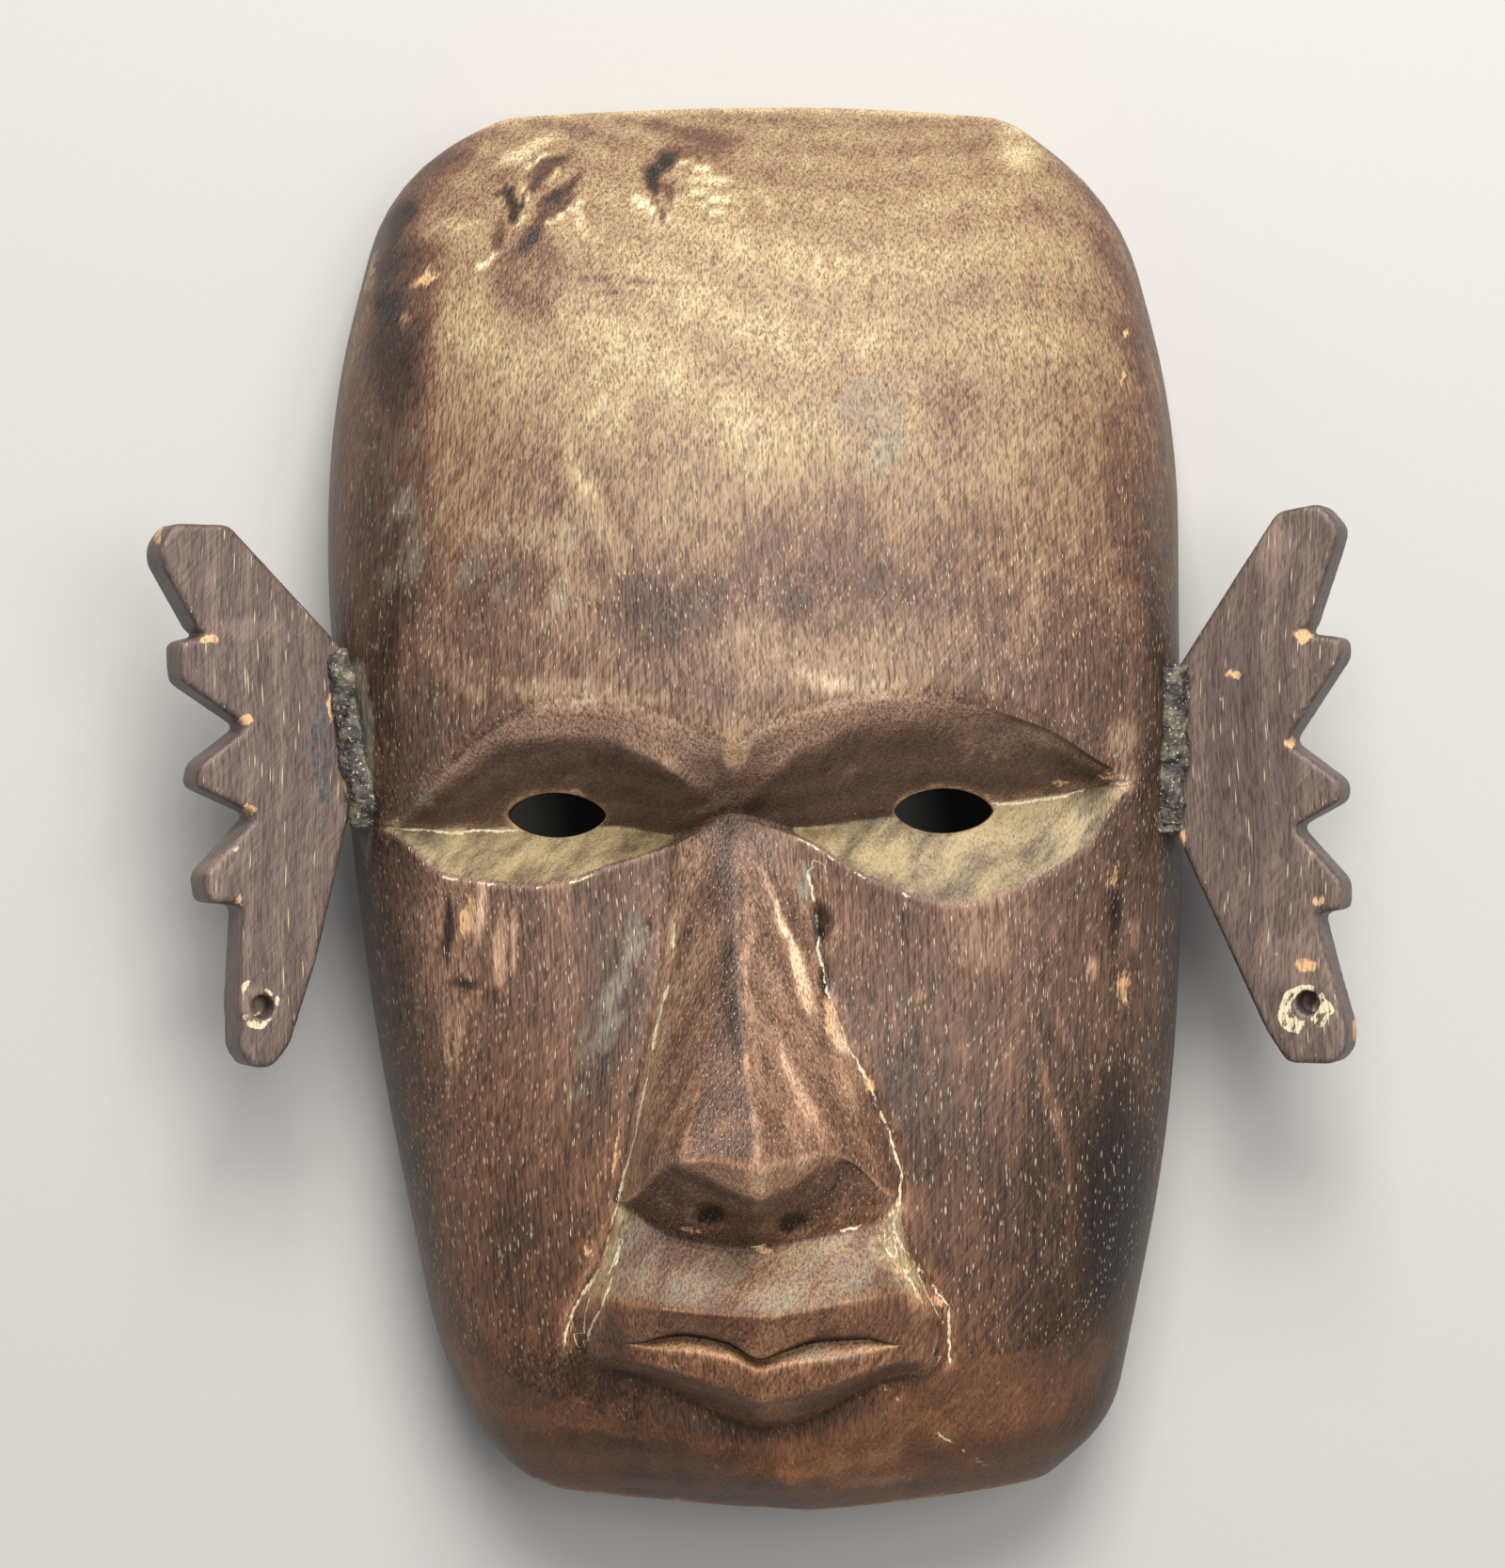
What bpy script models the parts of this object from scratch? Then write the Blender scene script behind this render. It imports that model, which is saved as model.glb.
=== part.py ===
"""A carved wooden face mask with two flat, toothed ears, lying on its back rim.

Metres. +Z points out of the face, +Y to the top of its forehead and +X to the right of someone looking at it.
The origin is on the surface that the rim rests on, under the middle of the whole mask.
"""

import math

import bmesh
import bpy
import numpy as np
from mathutils import Matrix, Vector
from mathutils.bvhtree import BVHTree

# Driving dimensions, in metres
FACE_LENGTH = 0.2472
FACE_WIDTH = 0.154
FACE_DEPTH = 0.080
RIM_WIDTH = 0.010
WALL = 0.008
EYE_HOLE_WIDTH = 0.0172
EYE_HOLE_HEIGHT = 0.0078
EAR_LENGTH = 0.0975
EAR_REACH = {"left": 0.035, "right": 0.0305}
EAR_THICKNESS = 0.009
EAR_EDGE_BEVEL = 0.0007
EAR_CORNER_RADIUS = 0.0012
EAR_HOLE_RADIUS = 0.0021
EAR_HOLE_DEPTH = 0.0045
EAR_HOLE_INSET = 0.0105
SEAT_HEIGHT = 0.034
EAR_ROOT = 0.005
FILLER_RADIUS = 0.0034
FIT_GAP = 0.0003

# Mesh counts: the carved front's columns and rows between the lines of the carving, and the hollow's
EDGE_SPREAD = (0.0022, 0.011, 0.028, 0.055, 0.095)
CHEEK_COLUMNS = 11
NOSE_COLUMNS = (5, 4, 8)
ROWS = {
    "chin": 6,
    "under_lip": 3,
    "lower_lip": 2,
    "slit": 2,
    "upper_lip": 4,
    "muzzle": 4,
    "nose_base": 3,
    "nose_tip": 1,
    "cheek": 11,
    "lid": 4,
    "socket": 5,
    "brow": 2,
    "forehead": 13,
}
HOLLOW_ROWS = 28
HOLLOW_COLUMNS = 20
LEAST_ROW = 0.0016
HOLE_SIDES = 16

# The carving below is in shares of the face's own size: places across are shares of half its width, places up
# it are shares of half its length, and heights above the rim are shares of its depth.

# The outline's corners, from the top clockwise: across, up, and how far each is rounded
OUTLINE_CORNERS = (
    (0.10, 1.003, 0.30),
    (0.58, 0.988, 0.05),
    (0.865, 0.87, 0.20),
    (0.998, 0.56, 0.30),
    (1.005, -0.12, 0.40),
    (0.975, -0.47, 0.30),
    (0.845, -0.872, 0.08),
    (0.69, -0.957, 0.05),
    (0.132, -0.999, 0.04),
    (-0.47, -0.967, 0.06),
    (-0.63, -0.91, 0.12),
    (-0.735, -0.775, 0.12),
    (-0.885, -0.32, 0.30),
    (-1.003, 0.33, 0.25),
    (-0.985, 0.60, 0.25),
    (-0.86, 0.90, 0.16),
    (-0.57, 0.987, 0.04),
)
GRID_CORNERS = ((0.72, 0.930), (0.76, -0.930), (-0.58, -0.900), (-0.74, 0.930))

# Crowns are heights along the middle, up to height, and the sides fall from them as a dome
SIDE_EDGE = 0.11
DOME_POWER = 2.4
FOREHEAD_CROWN = (
    (-0.101, 0.820),
    (0.040, 0.832),
    (0.162, 0.826),
    (0.324, 0.797),
    (0.485, 0.753),
    (0.647, 0.683),
    (0.809, 0.578),
    (0.930, 0.437),
    (1.011, 0.290),
)
CHEEK_CROWN = (
    (-1.011, 0.26),
    (-0.976, 0.42),
    (-0.930, 0.53),
    (-0.850, 0.62),
    (-0.728, 0.665),
    (-0.506, 0.685),
    (-0.253, 0.695),
    (-0.051, 0.700),
)
TEMPLE = (-0.25, 0.20)
TEMPLE_ACROSS = (0.50, 0.86)

# Lines that run across the face, across to up. The four of the eyes meet at the sockets' corners.
BROW_CREST = (
    (-1.00, 0.121),
    (-0.83, -0.016),
    (-0.595, 0.099),
    (-0.421, 0.151),
    (-0.257, 0.142),
    (-0.09, 0.099),
    (-0.045, 0.085),
    (0.016, 0.112),
    (0.18, 0.150),
    (0.335, 0.159),
    (0.64, 0.110),
    (0.838, 0.050),
    (1.00, 0.182),
)
SOCKET_TOP = (
    (-1.00, 0.046),
    (-0.825, -0.024),
    (-0.651, 0.043),
    (-0.530, 0.090),
    (-0.357, 0.098),
    (-0.233, 0.072),
    (-0.045, 0.012),
    (0.114, 0.081),
    (0.308, 0.117),
    (0.504, 0.121),
    (0.784, 0.056),
    (0.838, 0.037),
    (1.00, 0.111),
)
EYE_LINE = (
    (-1.00, -0.030),
    (-0.82, -0.031),
    (-0.306, -0.029),
    (-0.175, -0.040),
    (-0.045, -0.010),
    (0.085, -0.030),
    (0.31, -0.014),
    (0.562, 0.005),
    (0.838, 0.030),
    (1.00, 0.040),
)
LID_EDGE = (
    (-1.00, -0.111),
    (-0.82, -0.038),
    (-0.694, -0.094),
    (-0.478, -0.110),
    (-0.301, -0.080),
    (-0.175, -0.053),
    (-0.045, -0.018),
    (0.085, -0.038),
    (0.262, -0.100),
    (0.450, -0.135),
    (0.58, -0.112),
    (0.746, -0.055),
    (0.838, 0.022),
    (1.00, -0.040),
)
NOSE_FRONT_EDGE = (
    (-1.00, -0.435),
    (-0.292, -0.537),
    (-0.176, -0.473),
    (-0.070, -0.465),
    (0.012, -0.477),
    (0.062, -0.470),
    (0.168, -0.465),
    (0.213, -0.477),
    (0.318, -0.530),
    (1.00, -0.435),
)
NOSE_TIP_FACET = (
    (-1.00, -0.496),
    (-0.292, -0.540),
    (-0.165, -0.481),
    (0.019, -0.515),
    (0.195, -0.477),
    (0.318, -0.533),
    (1.00, -0.496),
)
NOSE_BASE = (
    (-1.00, -0.556),
    (-0.292, -0.543),
    (-0.182, -0.582),
    (0.000, -0.599),
    (0.095, -0.589),
    (0.2845, -0.561),
    (0.318, -0.537),
    (1.00, -0.556),
)
MUZZLE_CREST = ((-1.00, -0.627), (-0.25, -0.673), (0.012, -0.683), (0.25, -0.662), (1.00, -0.627))
MOUTH_LINE = (
    (-1.00, -0.698),
    (-0.268, -0.729),
    (-0.149, -0.711),
    (-0.055, -0.722),
    (0.016, -0.746),
    (0.063, -0.735),
    (0.150, -0.716),
    (0.243, -0.717),
    (0.315, -0.730),
    (1.00, -0.698),
)
LIP_EDGE = (
    (-1.00, -0.738),
    (-0.268, -0.734),
    (-0.149, -0.736),
    (-0.055, -0.744),
    (0.019, -0.762),
    (0.063, -0.754),
    (0.157, -0.747),
    (0.315, -0.735),
    (1.00, -0.738),
)
LIP_FOOT = ((-1.00, -0.809), (-0.32, -0.776), (0.050, -0.858), (0.335, -0.785), (1.00, -0.809))
LIP_FRONT_SHARE = 0.45
SLIT_SHARE = 0.3
MOUTH_MIDDLE = 0.024
MOUTH_HALF_WIDTH = 0.295
MOUTH_CORNER_CLOSING = 0.07

# Across to how far the eye line lies behind the cheek
SOCKET_DEPTH = (
    (-0.82, 0.0),
    (-0.72, 0.060),
    (-0.55, 0.110),
    (-0.33, 0.090),
    (-0.15, 0.035),
    (-0.045, 0.005),
    (0.08, 0.035),
    (0.31, 0.090),
    (0.55, 0.110),
    (0.72, 0.060),
    (0.838, 0.0),
)
BROW_BAND_DROP = (
    (-0.82, 0.0),
    (-0.65, 0.045),
    (-0.20, 0.055),
    (-0.045, 0.190),
    (0.11, 0.060),
    (0.65, 0.045),
    (0.838, 0.0),
)
CHEEK_HOLLOW = 0.085
CHEEK_HOLLOW_REACH = 0.40
CHEEK_HOLLOW_UP = (-0.48, -0.10)
EYE_HOLES = ((-0.438, -0.011), (0.427, -0.005))

# Lines that run down the face, up to across. The creases are the nose's sides, and the folds beside the lips.
CREASE_LEFT = (
    (-1.011, -0.36),
    (-0.809, -0.33),
    (-0.728, -0.402),
    (-0.610, -0.331),
    (-0.536, -0.294),
    (-0.405, -0.262),
    (-0.243, -0.208),
    (-0.036, -0.178),
    (0.121, -0.165),
    (1.011, -0.33),
)
CREASE_RIGHT = (
    (-1.011, 0.48),
    (-0.809, 0.39),
    (-0.728, 0.432),
    (-0.631, 0.365),
    (-0.536, 0.320),
    (-0.374, 0.250),
    (-0.217, 0.162),
    (-0.031, 0.092),
    (0.121, 0.120),
    (1.011, 0.33),
)
MIDDLE_RIDGE = (
    (-1.011, 0.137),
    (-0.860, 0.031),
    (-0.607, 0.000),
    (-0.468, 0.012),
    (-0.353, -0.010),
    (-0.238, -0.030),
    (-0.010, -0.040),
    (0.101, -0.016),
    (1.011, 0.0),
)
NOSE_LEFT_ARRIS = (
    (-1.011, -0.10),
    (-0.566, -0.155),
    (-0.468, -0.148),
    (-0.353, -0.108),
    (-0.238, -0.078),
    (-0.071, -0.075),
    (1.011, -0.12),
)
# Up to height
NOSE_RIDGE_HEIGHT = (
    (-0.607, 1.06),
    (-0.468, 0.985),
    (-0.353, 0.885),
    (-0.238, 0.790),
    (-0.121, 0.705),
    (-0.015, 0.615),
)
NOSE_LEFT_ARRIS_SHARE = 0.86
NOSE_SIDE_POWER = 0.9
NOSE_TIP_FACET_DROP = 0.040

MUZZLE_HEIGHTS = {
    "base": 0.730,
    "crest": 0.835,
    "mouth": 0.795,
    "slit": 0.742,
    "lip_edge": 0.788,
    "lip_front": 0.782,
    "foot": 0.672,
}
MUZZLE_SIDE_POWER = 2.6
MUZZLE_SIDE_STEEPNESS = 0.62
LIP_CORNERS = (-0.37, 0.405)
LIP_CORNER_CLOSING = 0.07
CHIN_RIDGE_RISE = 0.055
CHIN_RIDGE_REACH = 0.34

# Each ear's outline, from its root: shares of its reach outwards, then shares of its length up from its middle
EAR_TOOTH_NOTCHES = {
    "left": ((0.74, 0.288), (0.55, 0.126), (0.50, -0.030), (0.575, -0.190)),
    "right": ((0.72, 0.268), (0.68, 0.075), (0.72, -0.076), (0.85, -0.230)),
}
EAR_TOOTH_TIPS = {
    "left": (
        ((0.90, 0.275), (0.89, 0.205)),
        ((0.80, 0.060), (0.82, 0.020)),
        ((0.78, -0.135), (0.76, -0.185)),
    ),
    "right": (
        ((0.99, 0.258), (1.00, 0.225)),
        ((0.99, 0.005), (0.99, -0.030)),
        ((1.00, -0.172), (1.00, -0.222)),
    ),
}
EAR_UPPER_ARM = {
    "left": ((0.645, 0.482), (0.93, 0.482), (1.00, 0.445), (1.00, 0.415), (0.80, 0.293)),
    "right": ((0.62, 0.482), (0.87, 0.495), (0.98, 0.455), (0.97, 0.430), (0.80, 0.272)),
}
EAR_LOWER_ARM = {
    "left": (
        (0.60, -0.350),
        (0.595, -0.445),
        (0.53, -0.478),
        (0.42, -0.478),
        (0.33, -0.440),
        (0.19, -0.290),
    ),
    "right": (
        (0.94, -0.335),
        (1.03, -0.430),
        (1.02, -0.470),
        (0.95, -0.495),
        (0.68, -0.495),
        (0.56, -0.440),
    ),
}
EAR_SEAT = {"left": (0.255, -0.035), "right": (0.197, -0.081)}
EAR_HOLE_ACROSS = {"left": 0.475, "right": 0.80}
EAR_MIDDLE = {"left": 0.0016, "right": 0.0041}
EAR_FORWARD_TURN = {"left": math.radians(26), "right": math.radians(21)}
SIDES = {"left": -1, "right": 1}

# Linear colours and finish: base colour, roughness
FINISHES = {
    "stained_hardwood": ((0.115, 0.060, 0.032), 0.55),
    "stained_ear_board": ((0.070, 0.040, 0.030), 0.60),
    "black_resin": ((0.030, 0.032, 0.033), 0.45),
}


def through(points):
    """A smooth curve through (place, value) points that never overshoots them and is level past its ends."""
    places, values = np.array(points, float).T
    steps = np.diff(places)
    slopes = np.diff(values) / steps
    tangents = np.concatenate([slopes[:1], np.zeros(len(places) - 2), slopes[-1:]])
    for i in range(1, len(places) - 1):
        before, after = slopes[i - 1], slopes[i]
        if before * after > 0:
            near, far = 2 * steps[i] + steps[i - 1], steps[i] + 2 * steps[i - 1]
            tangents[i] = (near + far) / (near / before + far / after)

    def value(place):
        place = np.clip(place, places[0], places[-1])
        i = np.clip(np.searchsorted(places, place) - 1, 0, len(steps) - 1)
        t = (place - places[i]) / steps[i]
        rest = 1 - t
        return (
            values[i] * rest**2 * (1 + 2 * t)
            + values[i + 1] * t**2 * (3 - 2 * t)
            + steps[i] * t * rest * (tangents[i] * rest - tangents[i + 1] * t)
        )

    return value


def layered(up, lines, heights):
    """Straight slopes between lines that run across the face, highest line first."""
    result = np.array(np.broadcast_to(heights[0], np.shape(up)), float)
    for upper, lower, start, end in zip(lines, lines[1:], heights, heights[1:]):
        share = np.clip((upper - up) / np.maximum(upper - lower, 1e-4), 0, 1)
        result = np.where(up < upper, start + (end - start) * share, result)
    return result


def eased(share):
    share = np.clip(share, 0, 1)
    return share * share * (3 - 2 * share)


def lower_lip_front(across):
    edge = LINES["lip_edge"](across)
    return edge + (LINES["foot"](across) - edge) * LIP_FRONT_SHARE


# The lines across the face from the chin up, each with the rows of the mesh below it
LINES = {
    "foot": through(LIP_FOOT),
    "lip_edge": through(LIP_EDGE),
    "mouth": through(MOUTH_LINE),
    "muzzle": through(MUZZLE_CREST),
    "base": through(NOSE_BASE),
    "facet": through(NOSE_TIP_FACET),
    "front_edge": through(NOSE_FRONT_EDGE),
    "lid": through(LID_EDGE),
    "eye": through(EYE_LINE),
    "socket": through(SOCKET_TOP),
    "crest": through(BROW_CREST),
}
ROW_LINES = (
    LINES["foot"],
    lower_lip_front,
    LINES["lip_edge"],
    LINES["mouth"],
    LINES["muzzle"],
    LINES["base"],
    LINES["facet"],
    LINES["front_edge"],
    LINES["lid"],
    LINES["eye"],
    LINES["socket"],
    LINES["crest"],
)
LEFT, RIDGE, RIGHT = through(CREASE_LEFT), through(MIDDLE_RIDGE), through(CREASE_RIGHT)
ARRIS = through(NOSE_LEFT_ARRIS)


def cheek_hollow(across, up):
    """How far the cheek sinks beside the nose's upper half."""
    away = np.maximum(np.maximum(LEFT(up) - across, across - RIGHT(up)), 0)
    low, high = CHEEK_HOLLOW_UP
    return CHEEK_HOLLOW * np.clip(1 - away / CHEEK_HOLLOW_REACH, 0, 1) * eased((up - low) / (high - low))


def brow_and_cheeks(edge_share, across, up):
    """The forehead, the brow over both sockets, the lower lids and the cheeks."""
    dome = (1 - np.abs(edge_share) ** DOME_POWER) ** (1 / DOME_POWER)
    forehead, cheeks = through(FOREHEAD_CROWN), through(CHEEK_CROWN)
    sideways = eased((np.abs(across) - TEMPLE_ACROSS[0]) / (TEMPLE_ACROSS[1] - TEMPLE_ACROSS[0]))

    def arched(crown, at_up):
        temple = eased((at_up - TEMPLE[0]) / (TEMPLE[1] - TEMPLE[0]))
        flank = cheeks(at_up) + (forehead(at_up) - cheeks(at_up)) * temple
        own = crown(at_up)
        return SIDE_EDGE + (own + (flank - own) * sideways - SIDE_EDGE) * dome

    crest, socket, eye, lid = (LINES[name](across) for name in ("crest", "socket", "eye", "lid"))
    at_crest, at_lid = arched(forehead, crest), arched(cheeks, lid) - cheek_hollow(across, lid)
    at_socket = arched(forehead, socket) - through(BROW_BAND_DROP)(across)
    at_eye = at_lid - through(SOCKET_DEPTH)(across)
    sloped = layered(up, (crest, socket, eye, lid), (at_crest, at_socket, at_eye, at_lid))
    cheek = arched(cheeks, up) - cheek_hollow(across, up)
    return np.where(up > crest, arched(forehead, up), np.where(up < lid, cheek, sloped))


def muzzle_lift(across, up):
    """How far the part that carries the lips stands out from the cheeks."""
    names = ("base", "muzzle", "mouth", "lip_edge", "foot")
    base, crest, mouth, lip_edge, foot = (LINES[name](across) for name in names)
    height = {name: value - MUZZLE_HEIGHTS["foot"] for name, value in MUZZLE_HEIGHTS.items()}
    open_share = eased((MOUTH_HALF_WIDTH - np.abs(across - MOUTH_MIDDLE)) / MOUTH_CORNER_CLOSING)
    closed = (height["mouth"] + height["lip_edge"]) / 2
    in_slit = closed + (height["slit"] - closed) * open_share
    slit = mouth + (lip_edge - mouth) * SLIT_SHARE
    lines = (base, crest, mouth, slit, lip_edge, lower_lip_front(across), foot)
    upper_lip = (height["base"], height["crest"], height["mouth"])
    heights = (*upper_lip, in_slit, height["lip_edge"], height["lip_front"], 0)
    lift = layered(up, lines, heights)
    closing = eased((LINES["muzzle"](across) - up) / LIP_CORNER_CLOSING)
    corner_left, corner_right = LIP_CORNERS
    left, right = LEFT(up), RIGHT(up)
    left, right = left + (corner_left - left) * closing, right + (corner_right - right) * closing
    share = np.clip(np.abs(across - (left + right) / 2) / ((right - left) / 2), 0, 1)
    fade = np.clip(1 - (up - LINES["base"](across)) / 0.25, 0, 1)
    return lift * fade * (1 - share**MUZZLE_SIDE_POWER) ** MUZZLE_SIDE_STEEPNESS


def nose_share(across, up):
    """0 outside the nose and 1 along its ridge."""
    left, arris, ridge, right = LEFT(up), ARRIS(up), RIDGE(up), RIGHT(up)
    middle = NOSE_LEFT_ARRIS_SHARE
    side = middle * np.clip((across - left) / (arris - left), 0, 1) ** NOSE_SIDE_POWER
    front = middle + (1 - middle) * np.clip((across - arris) / (ridge - arris), 0, 1)
    other = np.clip((right - across) / (right - ridge), 0, 1) ** NOSE_SIDE_POWER
    return np.where(across > ridge, other, np.where(across > arris, front, side))


def front_height(edge_share, x, y):
    """Height of the carved front above the rim. edge_share is -1 at the outline's left and 1 at its right."""
    across, up = x / (FACE_WIDTH / 2), y / (FACE_LENGTH / 2)
    face = brow_and_cheeks(edge_share, across, up)
    muzzle = face + muzzle_lift(across, up)
    edge, facet, base = (LINES[name](across) for name in ("front_edge", "facet", "base"))
    ridge_height = through(NOSE_RIDGE_HEIGHT)
    front = muzzle + np.maximum(ridge_height(up) - muzzle, 0) * nose_share(across, up)
    edge_share_up = nose_share(across, edge)
    at_edge = muzzle + np.maximum(ridge_height(edge) - muzzle, 0) * edge_share_up
    at_facet = at_edge - NOSE_TIP_FACET_DROP * edge_share_up
    under = layered(up, (edge, facet, base), (at_edge, at_facet, muzzle))
    in_nose = (across > LEFT(up)) & (across < RIGHT(up)) & (up < LINES["eye"](across))
    height = np.where(in_nose & (up > edge), front, muzzle)
    height = np.where(in_nose & (up <= edge) & (up > base), under, height)
    ridge = RIDGE(up)
    roof = np.clip(1 - np.abs(across - ridge) / CHIN_RIDGE_REACH, 0, 1)
    height = height + CHIN_RIDGE_RISE * roof * eased((LINES["foot"](across) - up) / 0.08)
    return height * FACE_DEPTH


def rounded_outline(corners, steps=6):
    """A closed polygon with rounded corners. A corner's third number is how far it is cut back."""
    points = []
    count = len(corners)
    for i, (x, y, cut) in enumerate(corners):
        here = Vector((x, y))
        back = Vector(corners[i - 1][:2]) - here
        on = Vector(corners[(i + 1) % count][:2]) - here
        cut = min(cut, 0.48 * back.length, 0.48 * on.length)
        start, end = here + back.normalized() * cut, here + on.normalized() * cut
        for k in range(steps + 1):
            t = k / steps
            points.append(start * (1 - t) ** 2 + here * 2 * t * (1 - t) + end * t**2)
    return points


def face_outline(inset=0.0):
    """The outline in metres, clockwise from the top, moved inwards by inset."""
    half_width, half_length = FACE_WIDTH / 2, FACE_LENGTH / 2
    corners = [(a * half_width, b * half_length, c * half_width) for a, b, c in OUTLINE_CORNERS]
    edge = rounded_outline(corners)
    if not inset:
        return edge
    moved = []
    for i, here in enumerate(edge):
        along = (edge[(i + 1) % len(edge)] - edge[i - 1]).normalized()
        moved.append(here + Vector((along.y, -along.x)) * inset)
    return moved


def outline_between(outline, start, end):
    """A function from a share to the place along the outline, clockwise from start to end."""
    numbers = range(len(outline))
    first, last = (min(numbers, key=lambda i: (outline[i] - place).length) for place in (start, end))
    if last <= first:
        last += len(outline)
    run = np.array([outline[i % len(outline)] for i in range(first, last + 1)])
    along = np.concatenate([[0], np.cumsum(np.linalg.norm(np.diff(run, axis=0), axis=1))])

    def place(share):
        at = share * along[-1]
        return np.stack([np.interp(at, along, run[:, k]) for k in (0, 1)], axis=-1)

    return place


def patch_over(outline):
    """A function from shares across and up to places in plan that fill the outline."""
    corners = [Vector((a * FACE_WIDTH / 2, b * FACE_LENGTH / 2)) for a, b in GRID_CORNERS]
    right, bottom, left, top = (outline_between(outline, corners[k], corners[(k + 1) % 4]) for k in range(4))
    low_left, low_right, top_left, top_right = bottom(1.0), bottom(0.0), top(0.0), top(1.0)

    def place(s, t):
        s3, t3 = s[..., None], t[..., None]
        sides = left(t) * (1 - s3) + right(1 - t) * s3
        ends = bottom(1 - s) * (1 - t3) + top(s) * t3
        low, high = low_left * (1 - s3) + low_right * s3, top_left * (1 - s3) + top_right * s3
        return sides + ends - low * (1 - t3) - high * t3

    return place


def split(stops, counts):
    """Shares between stops, evenly, along the last axis."""
    parts = [stops[..., :1]]
    for k, count in enumerate(counts):
        steps = np.arange(1, count + 1) / count
        parts.append(stops[..., k : k + 1] + (stops[..., k + 1 : k + 2] - stops[..., k : k + 1]) * steps)
    return np.concatenate(parts, axis=-1)


def carved_grid(outline):
    """A net along the carving's lines: its places in plan, and each column's edge share."""
    patch = patch_over(outline)
    s, t = np.linspace(0, 1, 201), np.linspace(0, 1, 401)
    plan = patch(*np.broadcast_arrays(s[None, :], t[:, None]))
    across, up = plan[..., 0] / (FACE_WIDTH / 2), plan[..., 1] / (FACE_LENGTH / 2)
    lines = []
    for line in (LEFT, ARRIS, RIDGE, RIGHT):
        lines.append([np.interp(0, row, s) for row in across - line(up)])
    edge = np.array(EDGE_SPREAD) / 2
    ones = np.ones((len(t), 1))
    stops = np.concatenate([edge[-1] * ones, np.array(lines).T, (1 - edge[-1]) * ones], axis=1)
    inner = split(stops, (CHEEK_COLUMNS, *NOSE_COLUMNS, CHEEK_COLUMNS))
    left_edge, right_edge = edge[None, :-1] * ones, 1 - edge[None, -2::-1] * ones
    columns = np.concatenate([0 * ones, left_edge, inner, right_edge, ones], axis=1)

    path = patch(columns, np.broadcast_to(t[:, None], columns.shape))
    across, up = path[..., 0] / (FACE_WIDTH / 2), path[..., 1] / (FACE_LENGTH / 2)
    stops = [np.zeros(columns.shape[1])]
    for line in ROW_LINES:
        found = np.array([np.interp(0, column, t) for column in (up - line(across)).T])
        stops.append(np.maximum(found, stops[-1] + LEAST_ROW))
    stops.append(np.ones(columns.shape[1]))
    rows = split(np.array(stops).T, tuple(ROWS.values())).T
    places = np.stack([np.interp(rows[:, j], t, columns[:, j]) for j in range(columns.shape[1])], axis=1)
    return patch(places, rows), 2 * places - 1


def hollow_grid(outline):
    """An even net inside the outline, and its shares across and up from -1 to 1."""
    s, t = np.linspace(0, 1, HOLLOW_COLUMNS + 1), np.linspace(0, 1, HOLLOW_ROWS + 1)
    return patch_over(outline)(*np.broadcast_arrays(s[None, :], t[:, None])), 2 * s - 1, 2 * t - 1


def hollow_heights(plan, across_shares, up_shares, front_tree):
    """The hollow's ceiling: a bowl as deep in each row as leaves WALL in front of it."""
    bowl = (1 - np.abs(across_shares) ** 2.4)[None, :] ** (1 / 2.4)
    ends = (1 - np.abs(up_shares) ** 3.0)[:, None] ** (1 / 3.0)
    shape = bowl * ends
    room = np.full(len(up_shares), np.inf)
    for i, row in enumerate(plan):
        for j, (x, y) in enumerate(row):
            if shape[i, j] < 0.25:
                continue
            hit = front_tree.ray_cast(Vector((x, y, 2 * FACE_DEPTH)), Vector((0, 0, -1)))[0]
            if hit is not None:
                room[i] = min(room[i], (hit.z - WALL) / shape[i, j])
    known = np.isfinite(room)
    room = np.interp(np.arange(len(room)), np.flatnonzero(known), room[known])
    padded = np.pad(room, 2, mode="edge")
    least = np.min([padded[k : k + len(room)] for k in range(5)], axis=0)
    padded = np.pad(least, 2, mode="edge")
    level = np.mean([padded[k : k + len(room)] for k in range(5)], axis=0)
    return np.minimum(level, room)[:, None] * shape


def finish(name, mesh, finish_name):
    """An object of that mesh, with its finish."""
    colour, roughness = FINISHES[finish_name]
    material = bpy.data.materials.get(finish_name)
    if material is None:
        material = bpy.data.materials.new(finish_name)
        material.use_nodes = True
        shader = material.node_tree.nodes["Principled BSDF"]
        shader.inputs["Base Color"].default_value = (*colour, 1)
        shader.inputs["Roughness"].default_value = roughness
        shader.inputs["Metallic"].default_value = 0.0
    mesh.materials.append(material)
    obj = bpy.data.objects.new(name, mesh)
    bpy.context.scene.collection.objects.link(obj)
    return obj


def mesh_from(name, points, faces):
    mesh = bpy.data.meshes.new(name)
    mesh.from_pydata([tuple(map(float, p)) for p in points], [], faces)
    mesh.validate()
    tidy = bmesh.new()
    tidy.from_mesh(mesh)
    bmesh.ops.recalc_face_normals(tidy, faces=tidy.faces)
    tidy.to_mesh(mesh)
    tidy.free()
    return mesh


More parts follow.
